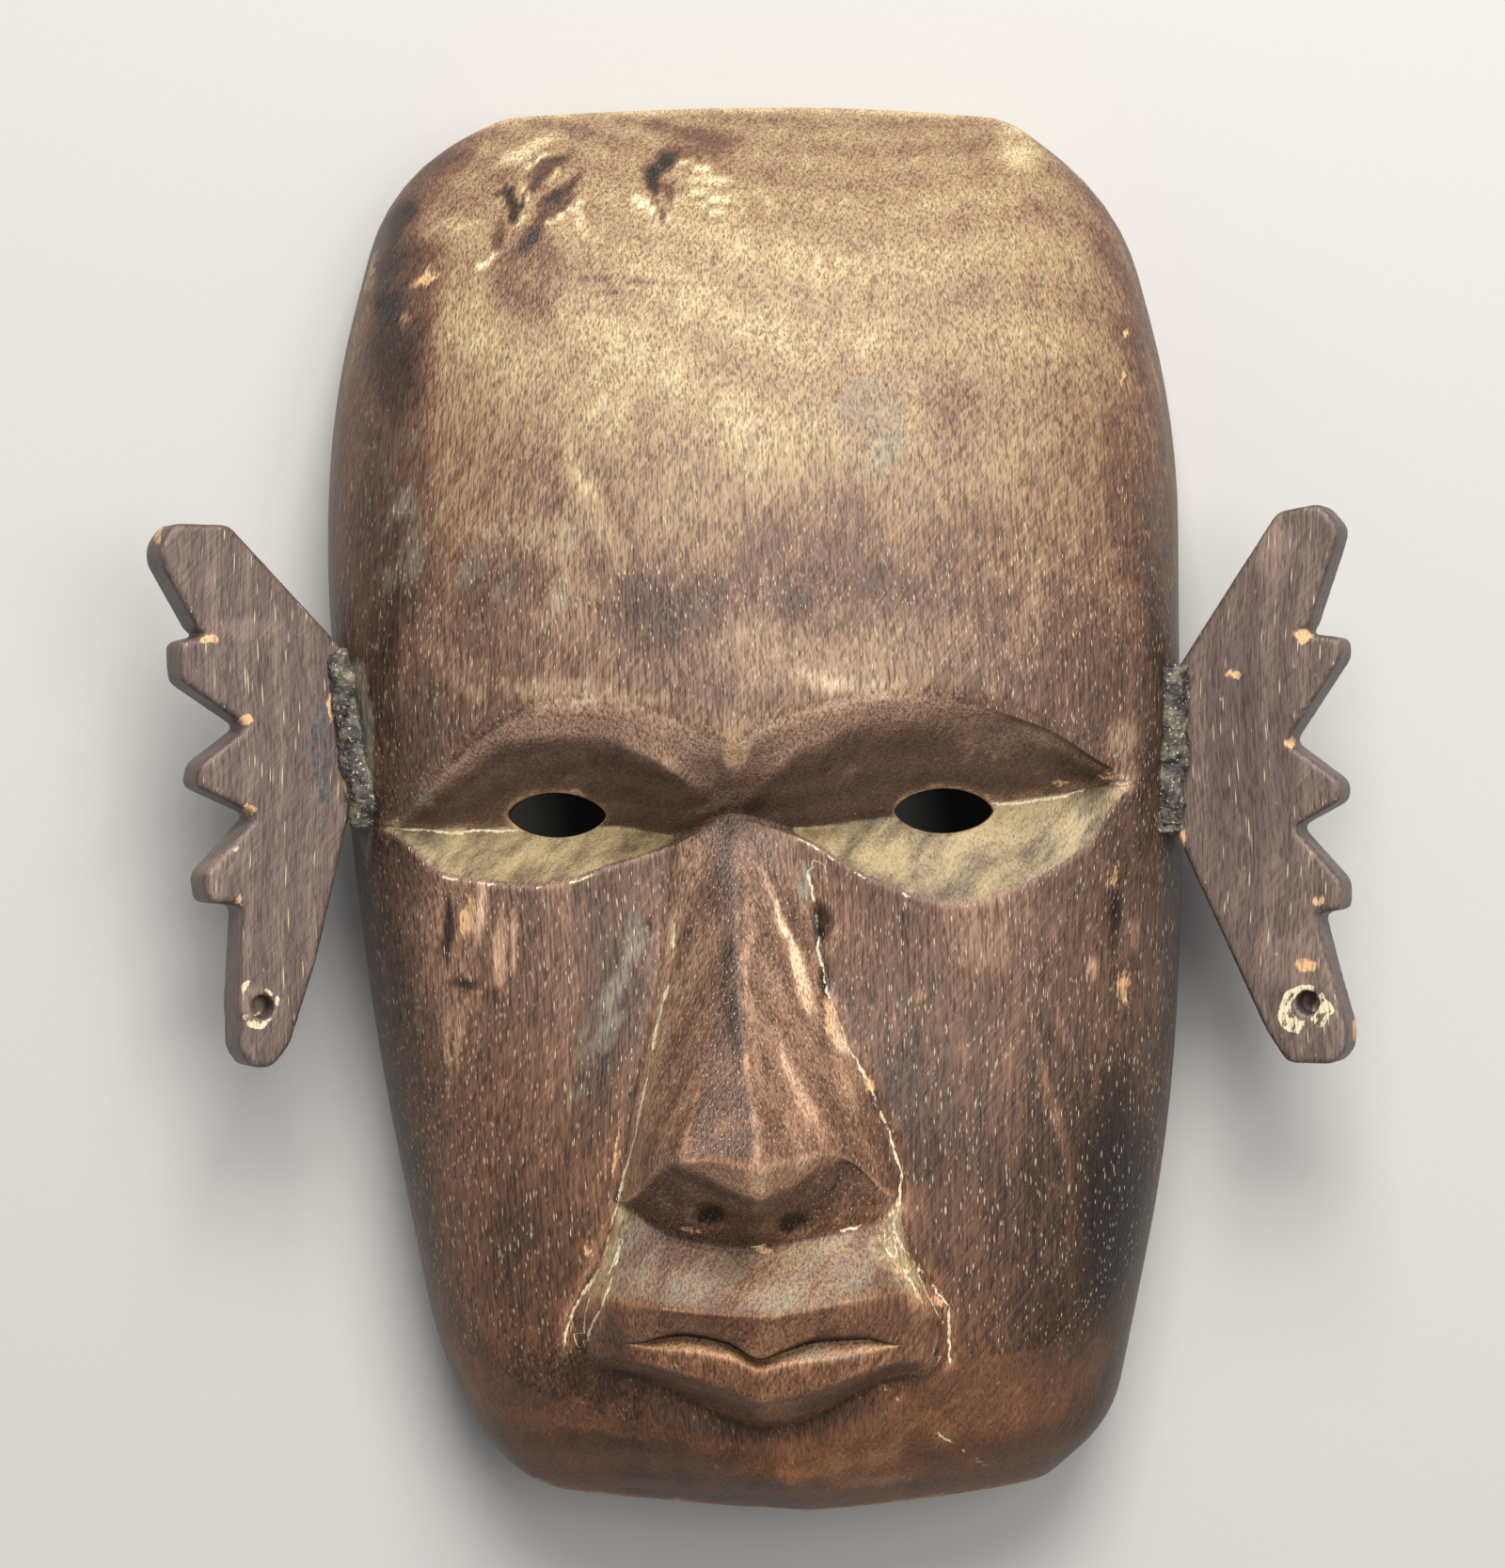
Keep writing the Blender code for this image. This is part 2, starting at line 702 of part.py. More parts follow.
def bridge(upper, lower):
    """Faces between two closed loops of indices, whatever their counts."""
    faces = []
    n, m = len(upper), len(lower)
    i = j = 0
    while i < n or j < m:
        if j == m or (i < n and (i + 1) * m <= (j + 1) * n):
            faces.append((upper[i % n], lower[j % m], upper[(i + 1) % n]))
            i += 1
        else:
            faces.append((upper[i % n], lower[j % m], lower[(j + 1) % m]))
            j += 1
    return faces


def grid_faces(rows, columns, start=0):
    faces = []
    for i in range(rows):
        for j in range(columns):
            corner = start + i * (columns + 1) + j
            faces.append((corner, corner + 1, corner + columns + 2, corner + columns + 1))
    return faces


def border_of(rows, columns, start=0):
    """The grid's border as indices, anticlockwise from the lower left corner."""
    low = [(0, j) for j in range(columns)]
    right = [(i, columns) for i in range(rows)]
    top = [(rows, j) for j in range(columns, 0, -1)]
    left = [(i, 0) for i in range(rows, 0, -1)]
    return [start + i * (columns + 1) + j for i, j in low + right + top + left]


def face_mesh():
    """The carved front, its edge, the flat back rim and the hollow, as one closed mesh."""
    plan, edge_shares = carved_grid(face_outline())
    heights = front_height(edge_shares, plan[..., 0], plan[..., 1])
    rows, columns = plan.shape[0] - 1, plan.shape[1] - 1
    points = np.dstack([plan, heights]).reshape(-1, 3).tolist()
    faces = grid_faces(rows, columns)
    tree = BVHTree.FromPolygons([Vector(p) for p in points], faces)
    border = border_of(rows, columns)
    rim = list(range(len(points), len(points) + len(border)))
    points += [(points[k][0], points[k][1], 0.0) for k in border]
    for k in range(len(border)):
        faces.append((border[k - 1], rim[k - 1], rim[k], border[k]))

    hollow, across_shares, up_shares = hollow_grid(face_outline(RIM_WIDTH))
    ceiling = hollow_heights(hollow, across_shares, up_shares, tree)
    start = len(points)
    points += np.dstack([hollow, ceiling]).reshape(-1, 3).tolist()
    faces += [face[::-1] for face in grid_faces(HOLLOW_ROWS, HOLLOW_COLUMNS, start)]
    faces += bridge(rim, border_of(HOLLOW_ROWS, HOLLOW_COLUMNS, start))
    return mesh_from("face", points, faces)


def eye_cutter(name, across, up):
    """An almond-shaped bar along Z, as long as the face is deep."""
    half_width, half_height = EYE_HOLE_WIDTH / 2, EYE_HOLE_HEIGHT / 2
    centre = Vector((across * FACE_WIDTH / 2, up * FACE_LENGTH / 2))
    loop = []
    steps = 10
    for k in range(2 * steps):
        angle = math.pi * k / steps
        pinch = math.copysign(abs(math.sin(angle)) ** 1.25, math.sin(angle))
        loop.append((centre.x + half_width * math.cos(angle), centre.y + half_height * pinch))
    low, high = 0.1 * FACE_DEPTH, 1.1 * FACE_DEPTH
    points = [(x, y, low) for x, y in loop] + [(x, y, high) for x, y in loop]
    count = len(loop)
    faces = [tuple(range(count)), tuple(range(2 * count - 1, count - 1, -1))]
    faces += [(k, (k + 1) % count, count + (k + 1) % count, count + k) for k in range(count)]
    return helper(name, mesh_from(name, points, faces))


def helper(name, mesh):
    obj = bpy.data.objects.new(name, mesh)
    bpy.context.scene.collection.objects.link(obj)
    obj.hide_render = True
    obj.display_type = "WIRE"
    return obj


def cut(obj, cutter):
    modifier = obj.modifiers.new("cut_" + cutter.name, "BOOLEAN")
    modifier.operation = "DIFFERENCE"
    modifier.object = cutter
    modifier.solver = "EXACT"


def ear_outline(side):
    """The board's outline in its own plane: outwards from the root, and up from its middle."""
    notches, tips = EAR_TOOTH_NOTCHES[side], EAR_TOOTH_TIPS[side]
    seat_top, seat_foot = EAR_SEAT[side]
    reach = EAR_REACH[side]
    root = -EAR_ROOT / reach
    corners = [(root, seat_top), (0.02, seat_top), *EAR_UPPER_ARM[side]]
    for notch, tip in zip(notches, tips):
        corners += [notch, *tip]
    corners += [notches[-1], *EAR_LOWER_ARM[side], (0.02, seat_foot), (root, seat_foot)]
    cut_back = EAR_CORNER_RADIUS
    return rounded_outline([(a * reach, b * EAR_LENGTH, cut_back) for a, b in corners], steps=2)


def ear_frame(side, seat_x):
    """Places the board: its root on the flank at seat_x, its outer edge turned towards the front."""
    turn, sign = EAR_FORWARD_TURN[side], SIDES[side]
    outwards = Vector((sign * math.cos(turn), 0, math.sin(turn)))
    up = Vector((0, 1, 0))
    facing = Vector((-sign * math.sin(turn), 0, math.cos(turn)))
    origin = Vector((seat_x, EAR_MIDDLE[side], SEAT_HEIGHT))
    return Matrix((
        (outwards.x, up.x, facing.x, origin.x),
        (outwards.y, up.y, facing.y, origin.y),
        (outwards.z, up.z, facing.z, origin.z),
        (0, 0, 0, 1),
    ))


def ear_mesh(name, side, frame, lift=0.0):
    """The board with its front and back edges bevelled. lift thickens it on its front by that much."""
    outline = ear_outline(side)
    count = len(outline)
    bevel = EAR_EDGE_BEVEL
    inner = []
    for i, here in enumerate(outline):
        along = (outline[(i + 1) % count] - outline[i - 1]).normalized()
        inner.append(here + Vector((along.y, -along.x)) * bevel)
    back = -EAR_THICKNESS
    levels = ((inner, lift), (outline, lift - bevel), (outline, bevel + back), (inner, back))
    points = [frame @ Vector((p.x, p.y, z)) for loop, z in levels for p in loop]
    faces = [tuple(range(count)), tuple(range(4 * count - 1, 3 * count - 1, -1))]
    for level in range(3):
        start = level * count
        for k in range(count):
            on = (k + 1) % count
            faces.append((start + k, start + count + k, start + count + on, start + on))
    return mesh_from(name, points, faces)


def drill(side, frame):
    """The blind hole near the lower arm's end."""
    middle = EAR_REACH[side] * EAR_HOLE_ACROSS[side]
    low = EAR_LENGTH * min(b for _, b in EAR_LOWER_ARM[side])
    bar = bmesh.new()
    radius, depth = EAR_HOLE_RADIUS, 2 * EAR_HOLE_DEPTH
    size = {"radius1": radius, "radius2": radius, "depth": depth}
    bmesh.ops.create_cone(bar, cap_ends=True, segments=HOLE_SIDES, **size)
    place = frame @ Matrix.Translation((middle, low + EAR_HOLE_INSET, 0))
    bmesh.ops.transform(bar, matrix=place, verts=bar.verts)
    bmesh.ops.recalc_face_normals(bar, faces=bar.faces)
    mesh = bpy.data.meshes.new("drill_" + side)
    bar.to_mesh(mesh)
    bar.free()
    return helper("drill_" + side, mesh)


def seat_place(face, side):
    """How far out the face's flank is at the seat's height, from the mesh itself."""
    tree = BVHTree.FromPolygons([v.co for v in face.vertices], [tuple(p.vertices) for p in face.polygons])
    sign = SIDES[side]
    seat_top, seat_foot = EAR_SEAT[side]
    middle = EAR_MIDDLE[side] + (seat_top + seat_foot) / 2 * EAR_LENGTH
    hit = tree.ray_cast(Vector((sign * FACE_WIDTH, middle, SEAT_HEIGHT)), Vector((-sign, 0, 0)))[0]
    return hit.x


def filler_mesh(name, side, frame):
    """A lumpy bead along the corner between the ear's front and the face's flank."""
    seat_top, seat_foot = EAR_SEAT[side]
    start, end = seat_top * EAR_LENGTH + 0.0015, seat_foot * EAR_LENGTH - 0.0015
    rings, sides = 14, 10
    points, faces = [], []
    for i in range(rings + 1):
        share = i / rings
        swell = 0.35 + 0.65 * math.sin(math.pi * share) ** 0.35
        lump = 1 + 0.10 * math.sin(7.3 * share + SIDES[side]) + 0.06 * math.sin(17.1 * share)
        radius = FILLER_RADIUS * swell * lump
        for k in range(sides):
            angle = 2 * math.pi * k / sides
            along = start + (end - start) * share
            points.append(frame @ Vector((radius * math.cos(angle), along, radius * math.sin(angle))))
    for i in range(rings):
        for k in range(sides):
            on = (k + 1) % sides
            faces.append((i * sides + k, (i + 1) * sides + k, (i + 1) * sides + on, i * sides + on))
    faces += [tuple(range(sides)), tuple(range(rings * sides, (rings + 1) * sides))]
    return mesh_from(name, points, faces)


def evaluated_copy(name, obj, shift):
    """A helper mesh of the object as its modifiers leave it, moved by shift."""
    graph = bpy.context.evaluated_depsgraph_get()
    mesh = bpy.data.meshes.new_from_object(obj.evaluated_get(graph))
    mesh.transform(Matrix.Translation(shift))
    return helper(name, mesh)


def build():
    for obj in list(bpy.data.objects):
        bpy.data.objects.remove(obj)
    face = finish("face", face_mesh(), "stained_hardwood")
    for label, (across, up) in zip(SIDES, EYE_HOLES):
        cut(face, eye_cutter("eye_cutter_" + label, across, up))
    for side, sign in SIDES.items():
        frame = ear_frame(side, seat_place(face.data, side))
        ear = finish("ear_" + side, ear_mesh("ear_" + side, side, frame), "stained_ear_board")
        flank = evaluated_copy("flank_" + side, face, Vector((sign * FIT_GAP, 0, 0)))
        cut(ear, flank)
        cut(ear, drill(side, frame))
        name = "joint_filler_" + side
        filler = finish(name, filler_mesh(name, side, frame), "black_resin")
        cut(filler, flank)
        cut(filler, helper("ear_seat_" + side, ear_mesh("ear_seat_" + side, side, frame, lift=FIT_GAP)))
    for name in ("face", "joint_filler_left", "joint_filler_right"):
        mesh = bpy.data.objects[name].data
        mesh.shade_smooth()
        mesh.set_sharp_from_angle(angle=math.radians(40))


build()
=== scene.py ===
"""The carved wooden mask's finished look: its face, its two toothed ears, their joints' resin and the stage.

Metres. +Z points out of the face, +Y to the top of its forehead and +X to the right of someone looking at it.
"""

import math

import bmesh
import bpy
import numpy as np
from bpy.props import FloatProperty, FloatVectorProperty, IntProperty, PointerProperty
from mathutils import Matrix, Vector, noise
from mathutils.bvhtree import BVHTree


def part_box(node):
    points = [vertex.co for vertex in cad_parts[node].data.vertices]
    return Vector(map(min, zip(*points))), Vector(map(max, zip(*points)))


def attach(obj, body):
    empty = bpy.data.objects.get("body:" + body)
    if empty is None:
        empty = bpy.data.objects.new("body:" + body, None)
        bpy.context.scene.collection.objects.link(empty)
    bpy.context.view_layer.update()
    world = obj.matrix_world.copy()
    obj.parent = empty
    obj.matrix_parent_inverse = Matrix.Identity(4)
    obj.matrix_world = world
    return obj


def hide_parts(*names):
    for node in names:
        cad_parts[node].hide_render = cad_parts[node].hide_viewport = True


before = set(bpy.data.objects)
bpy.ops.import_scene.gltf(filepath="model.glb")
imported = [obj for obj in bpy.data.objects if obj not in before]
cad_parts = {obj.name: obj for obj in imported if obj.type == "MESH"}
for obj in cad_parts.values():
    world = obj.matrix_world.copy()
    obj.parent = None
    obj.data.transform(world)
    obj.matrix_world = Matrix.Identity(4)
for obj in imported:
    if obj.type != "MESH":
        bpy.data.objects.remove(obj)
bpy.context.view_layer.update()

bl_info = {
    "name": "Carved Wooden Mask",
    "version": (1, 0, 0),
    "blender": (4, 5, 0),
    "location": "3D View > Sidebar > Mask",
    "description": "Builds the carved wooden mask with its toothed ears",
    "category": "Object",
}


def linear(hex_colour):
    """The scene-linear colour of an sRGB hex value."""
    parts = [int(hex_colour[k : k + 2], 16) / 255 for k in (0, 2, 4)]
    return tuple(part / 12.92 if part <= 0.04045 else ((part + 0.055) / 1.055) ** 2.4 for part in parts)


# Mesh counts of the carved front between the lines of the carving, and of the hollow behind it
EDGE_COLUMNS = 16
EDGE_REACH = 0.095
EDGE_POWER = 2.34
CHEEK_COLUMNS = 62
NOSE_COLUMNS = (16, 10, 24)
ROWS = {
    "chin": 26,
    "under_lip": 12,
    "lower_lip": 9,
    "slit": 8,
    "upper_lip": 16,
    "muzzle": 16,
    "nose_base": 14,
    "nose_tip": 4,
    "cheek": 60,
    "lid": 18,
    "socket": 20,
    "brow": 9,
    "forehead": 92,
}
WALL_ROWS = 9
HOLLOW_STATIONS = 28
HOLLOW_ROWS = 90
HOLLOW_COLUMNS = 64
LEAST_ROW = 0.0016

# The carving below is in shares of the face's own size: places across are shares of half its width, places
# up it are shares of half its length, and heights above the rim are shares of its depth.

# The outline's corners, as the knife left them, from the top clockwise: across, up, and how far each is
# rounded
OUTLINE_CORNERS = (
    (0.10, 1.003, 0.30),
    (0.58, 0.988, 0.05),
    (0.865, 0.87, 0.20),
    (0.998, 0.56, 0.30),
    (1.005, -0.12, 0.40),
    (0.975, -0.47, 0.30),
    (0.845, -0.872, 0.08),
    (0.69, -0.957, 0.05),
    (0.132, -0.999, 0.04),
    (-0.47, -0.967, 0.06),
    (-0.63, -0.91, 0.12),
    (-0.735, -0.775, 0.12),
    (-0.885, -0.32, 0.30),
    (-1.003, 0.33, 0.25),
    (-0.985, 0.60, 0.25),
    (-0.86, 0.90, 0.16),
    (-0.57, 0.987, 0.04),
)
GRID_CORNERS = ((0.72, 0.930), (0.76, -0.930), (-0.58, -0.900), (-0.74, 0.930))

# Crowns are heights along the middle, up to height, and the sides fall from them as a dome
SIDE_EDGE = 0.11
DOME_POWER = 2.4
FOREHEAD_CROWN = (
    (-0.101, 0.820),
    (0.040, 0.832),
    (0.162, 0.826),
    (0.324, 0.797),
    (0.485, 0.753),
    (0.647, 0.683),
    (0.809, 0.578),
    (0.930, 0.437),
    (1.011, 0.290),
)
CHEEK_CROWN = (
    (-1.011, 0.26),
    (-0.976, 0.42),
    (-0.930, 0.53),
    (-0.850, 0.62),
    (-0.728, 0.665),
    (-0.506, 0.685),
    (-0.253, 0.695),
    (-0.051, 0.700),
)
TEMPLE = (-0.25, 0.20)
TEMPLE_ACROSS = (0.50, 0.86)

# Lines that run across the face, across to up. The four of the eyes meet at the sockets' corners.
BROW_CREST = (
    (-1.00, 0.121),
    (-0.83, -0.016),
    (-0.595, 0.099),
    (-0.421, 0.151),
    (-0.257, 0.142),
    (-0.09, 0.099),
    (-0.045, 0.085),
    (0.016, 0.112),
    (0.18, 0.150),
    (0.335, 0.159),
    (0.64, 0.110),
    (0.838, 0.050),
    (1.00, 0.182),
)
SOCKET_TOP = (
    (-1.00, 0.046),
    (-0.825, -0.024),
    (-0.651, 0.043),
    (-0.530, 0.090),
    (-0.357, 0.098),
    (-0.233, 0.072),
    (-0.045, 0.012),
    (0.114, 0.081),
    (0.308, 0.117),
    (0.504, 0.121),
    (0.784, 0.056),
    (0.838, 0.037),
    (1.00, 0.111),
)
EYE_LINE = (
    (-1.00, -0.030),
    (-0.82, -0.031),
    (-0.306, -0.029),
    (-0.175, -0.040),
    (-0.045, -0.010),
    (0.085, -0.030),
    (0.31, -0.014),
    (0.562, 0.005),
    (0.838, 0.030),
    (1.00, 0.040),
)
LID_EDGE = (
    (-1.00, -0.111),
    (-0.82, -0.038),
    (-0.694, -0.094),
    (-0.478, -0.110),
    (-0.301, -0.080),
    (-0.175, -0.053),
    (-0.045, -0.018),
    (0.085, -0.038),
    (0.262, -0.100),
    (0.450, -0.135),
    (0.58, -0.112),
    (0.746, -0.055),
    (0.838, 0.022),
    (1.00, -0.040),
)
NOSE_FRONT_EDGE = (
    (-1.00, -0.435),
    (-0.292, -0.537),
    (-0.176, -0.473),
    (-0.070, -0.465),
    (0.012, -0.477),
    (0.062, -0.470),
    (0.168, -0.465),
    (0.213, -0.477),
    (0.318, -0.530),
    (1.00, -0.435),
)
NOSE_TIP_FACET = (
    (-1.00, -0.496),
    (-0.292, -0.540),
    (-0.165, -0.481),
    (0.019, -0.515),
    (0.195, -0.477),
    (0.318, -0.533),
    (1.00, -0.496),
)
NOSE_BASE = (
    (-1.00, -0.556),
    (-0.292, -0.543),
    (-0.182, -0.582),
    (0.000, -0.599),
    (0.095, -0.589),
    (0.2845, -0.561),
    (0.318, -0.537),
    (1.00, -0.556),
)
MUZZLE_CREST = ((-1.00, -0.627), (-0.25, -0.673), (0.012, -0.683), (0.25, -0.662), (1.00, -0.627))
MOUTH_LINE = (
    (-1.00, -0.698),
    (-0.268, -0.729),
    (-0.149, -0.711),
    (-0.055, -0.722),
    (0.016, -0.746),
    (0.063, -0.735),
    (0.150, -0.716),
    (0.243, -0.717),
    (0.315, -0.730),
    (1.00, -0.698),
)
LIP_EDGE = (
    (-1.00, -0.738),
    (-0.268, -0.734),
    (-0.149, -0.736),
    (-0.055, -0.744),
    (0.019, -0.762),
    (0.063, -0.754),
    (0.157, -0.747),
    (0.315, -0.735),
    (1.00, -0.738),
)
LIP_FOOT = ((-1.00, -0.809), (-0.32, -0.776), (0.050, -0.858), (0.335, -0.785), (1.00, -0.809))
LIP_FRONT_SHARE = 0.45
SLIT_SHARE = 0.3
MOUTH_MIDDLE = 0.024
MOUTH_HALF_WIDTH = 0.295
MOUTH_CORNER_CLOSING = 0.07

# Across to how far the eye line lies behind the cheek
SOCKET_DEPTH = (
    (-0.82, 0.0),
    (-0.72, 0.060),
    (-0.55, 0.110),
    (-0.33, 0.090),
    (-0.15, 0.035),
    (-0.045, 0.005),
    (0.08, 0.035),
    (0.31, 0.090),
    (0.55, 0.110),
    (0.72, 0.060),
    (0.838, 0.0),
)
BROW_BAND_DROP = (
    (-0.82, 0.0),
    (-0.65, 0.045),
    (-0.20, 0.055),
    (-0.045, 0.190),
    (0.11, 0.060),
    (0.65, 0.045),
    (0.838, 0.0),
)
CHEEK_HOLLOW = 0.085
CHEEK_HOLLOW_REACH = 0.40
CHEEK_HOLLOW_UP = (-0.48, -0.10)
EYE_HOLES = ((-0.438, -0.011), (0.427, -0.005))

# Lines that run down the face, up to across. The creases are the nose's sides, and the folds beside the lips.
CREASE_LEFT = (
    (-1.011, -0.36),
    (-0.809, -0.33),
    (-0.728, -0.402),
    (-0.610, -0.331),
    (-0.536, -0.294),
    (-0.405, -0.262),
    (-0.243, -0.208),
    (-0.036, -0.178),
    (0.121, -0.165),
    (1.011, -0.33),
)
CREASE_RIGHT = (
    (-1.011, 0.48),
    (-0.809, 0.39),
    (-0.728, 0.432),
    (-0.631, 0.365),
    (-0.536, 0.320),
    (-0.374, 0.250),
    (-0.217, 0.162),
    (-0.031, 0.092),
    (0.121, 0.120),
    (1.011, 0.33),
)
MIDDLE_RIDGE = (
    (-1.011, 0.137),
    (-0.860, 0.031),
    (-0.607, 0.000),
    (-0.468, 0.012),
    (-0.353, -0.010),
    (-0.238, -0.030),
    (-0.010, -0.040),
    (0.101, -0.016),
    (1.011, 0.0),
)
NOSE_LEFT_ARRIS = (
    (-1.011, -0.10),
    (-0.566, -0.155),
    (-0.468, -0.148),
    (-0.353, -0.108),
    (-0.238, -0.078),
    (-0.071, -0.075),
    (1.011, -0.12),
)
# Up to height
NOSE_RIDGE_HEIGHT = (
    (-0.607, 1.06),
    (-0.468, 0.985),
    (-0.353, 0.885),
    (-0.238, 0.790),
    (-0.121, 0.705),
    (-0.015, 0.615),
)
NOSE_LEFT_ARRIS_SHARE = 0.86
NOSE_SIDE_POWER = 0.9
NOSE_TIP_FACET_DROP = 0.040

MUZZLE_HEIGHTS = {
    "base": 0.730,
    "crest": 0.835,
    "mouth": 0.795,
    "slit": 0.742,
    "lip_edge": 0.788,
    "lip_front": 0.782,
    "foot": 0.672,
}
MUZZLE_SIDE_POWER = 2.6
MUZZLE_SIDE_STEEPNESS = 0.62
LIP_CORNERS = (-0.37, 0.405)
LIP_CORNER_CLOSING = 0.07
CHIN_RIDGE_RISE = 0.055
CHIN_RIDGE_REACH = 0.34

# How thin the stain lies from the chin up, and how much pale dust its pores hold
TONE_UP = ((-1.01, 0.30), (-0.60, 0.42), (0.10, 0.45), (0.40, 0.51), (0.70, 0.61), (1.01, 0.56))
# How rich the stain's colour is: duller where wax and dust lie over it
RICHNESS_UP = ((-1.01, 1.10), (-0.60, 0.93), (0.05, 0.78), (0.60, 0.90), (1.01, 0.90))
# What the materials read at each point, in their order there
FINISH_VALUES = (
    "tone",
    "film",
    "paint",
    "bare",
    "lid",
    "line",
    "dust",
    "edge",
    "pores",
    "inside",
    "richness",
    "warm",
    "grain",
)
# How far the stain's red shows through, up the face
WARM_UP = ((-1.01, 1.0), (-0.10, 1.0), (0.16, 0.5), (0.45, 0.0), (1.01, 0.0))
BAND_TONE = 0.16
BAND_WARMTH = 0.6
# Painted shade: how much darker the eye sockets are made below the brow band
SOCKET_PAINTED_SHADE = -0.05
# Painted shade: how much darker the flanks are made where they turn away from the camera
FLANK_PAINTED_SHADE = -0.16
# Below this line across the jaw, smooth wood without dust in its pores
JAW_LINE = (
    (-1.00, -0.52),
    (-0.75, -0.72),
    (-0.50, -0.80),
    (-0.30, -0.84),
    (0.05, -0.87),
    (0.34, -0.80),
    (0.43, -0.765),
    (0.72, -0.735),
    (0.88, -0.62),
    (1.00, -0.50),
)
JAW_TONE = 0.06
# Planes that differ from their neighbours: the lines above and below, on the left and on the right, how
# much lighter each is, and how much warmer. Most are the stain's own colour; the mouth slit's upper face is
# painted shadow, its lower face is worn grey wood with painted light, and the chin's facets are painted shade
# on the left and painted light on the right.
PLANES = (
    ("lid", "front_edge", "left", "arris", 0.06, -0.2),
    ("lid", "front_edge", "arris", "ridge", -0.06, 0.2),
    ("lid", "front_edge", "ridge", "right", 0.05, 0.0),
    ("front_edge", "facet", "left", "right", 0.17, 0.3),
    ("base", "muzzle", "left", "right", 0.05, -1.0),
    ("muzzle", "mouth", "mouth_left", "mouth_right", 0.08, 0.4),
    # Painted shadow over the mouth slit's upper face
    ("mouth", "slit", "mouth_left", "mouth_right", -0.25, 0.0),
    # The slit's lower face: worn grey wood, and painted light where it faces up
    ("slit", "lip_edge", "mouth_left", "mouth_right", 0.28, -0.2),
    ("lip_edge", "lip_front", "mouth_left", "mouth_right", 0.10, 0.3),
    ("lip_front", "foot", "left", "right", 0.05, 0.3),
    # The chin's facets: painted shade on the left, painted light on the right
    ("foot", "end", "chin_left", "ridge", -0.04, 0.0),
    ("foot", "end", "ridge", "chin_right", 0.05, 0.0),
)
# How much lighter the wood is beside a cut, and how far from it in metres
CUT_GLOW = 0.22
CUT_GLOW_REACH = 0.0032
# How plainly the fibres show on each smooth part
GRAIN = {"lip": 0.9, "jaw": 0.6, "lid": 0.5, "socket": 0.7}
# How strongly pale dust lies along the lids' lower arris
LID_DUST = 0.34
# How far the grey film covers the upper lip
LIP_FILM = 0.46
PALE_PORES_UP = (
    (-1.01, 0.05),
    (-0.80, 0.3),
    (-0.65, 0.9),
    (0.30, 0.8),
    (0.48, 0.35),
    (0.62, 0.05),
    (1.01, 0.0),
)
# The pores' cells in millimetres, how far each layer of them is shifted, and how much of a cell a pore takes
FACE_PORES = (((0.64, 5.6, 0.64), (0, 0, 0), 0.165), ((0.54, 3.4, 0.54), (7.3, 3.1, 5.7), 0.155))
EAR_PORES = (((1.0, 22.0, 1.0), (0, 0, 0), 0.12), ((0.8, 12.0, 0.8), (7.3, 3.1, 5.7), 0.14))

SIDES = {"left": -1, "right": 1}
EAR_TURN = {"left": math.radians(26), "right": math.radians(21)}
EAR_TONE = 0.465
EAR_RICHNESS = 0.95
# The blind holes' middles in metres. What happened to each board: places in millimetres, how far each
# reaches, and how strong it is.
EAR_HOLES = {"left": (-0.0857, -0.0340), "right": (0.0951, -0.0347)}
EAR_PLACES = {
    "left": (
        ("bare", -93.5, 29.3, 1.5, 0.8, 1.0),
        ("bare", -87.8, 14.8, 1.3, 1.0, 1.0),
        ("bare", -87.2, 0.0, 1.2, 0.9, 0.9),
        ("bare", -88.6, -15.6, 0.8, 1.2, 0.7),
        ("bare", -72.6, 17.5, 1.1, 3.4, 1.0),
        ("bare", -70.6, 3.6, 0.8, 1.8, 1.0),
        ("bare", -101.8, 47.5, 1.0, 2.2, 0.8),
        ("dust", -75.2, 35.2, 1.4, 1.2, 0.7),
        ("paint", -75.0, 9.5, 1.8, 12.0, 0.5),
        ("tone", -88.5, 31.0, 8.0, 2.0, 0.06),
        ("tone", -93.0, -8.5, 4.0, 3.0, 0.08),
        ("tone", -85.7, -34.0, 3.0, 3.0, 0.10),
    ),
    "right": (
        ("bare", 94.6, 29.1, 1.4, 1.0, 1.0),
        ("bare", 92.6, 10.4, 1.0, 1.2, 0.9),
        ("bare", 95.6, -27.6, 1.4, 1.1, 1.0),
        ("bare", 84.0, 23.3, 1.0, 0.8, 0.9),
        ("bare", 73.5, -5.5, 2.0, 3.2, 0.8),
        ("bare", 97.0, -15.6, 0.8, 1.2, 0.6),
        ("bare", 104.0, -38.0, 0.7, 2.0, 0.8),
        ("tone", 90.0, 45.0, 4.0, 5.0, 0.10),
        ("tone", 94.0, -26.0, 6.0, 5.0, 0.08),
        ("tone", 86.0, 8.0, 7.0, 16.0, -0.05),
    ),
}
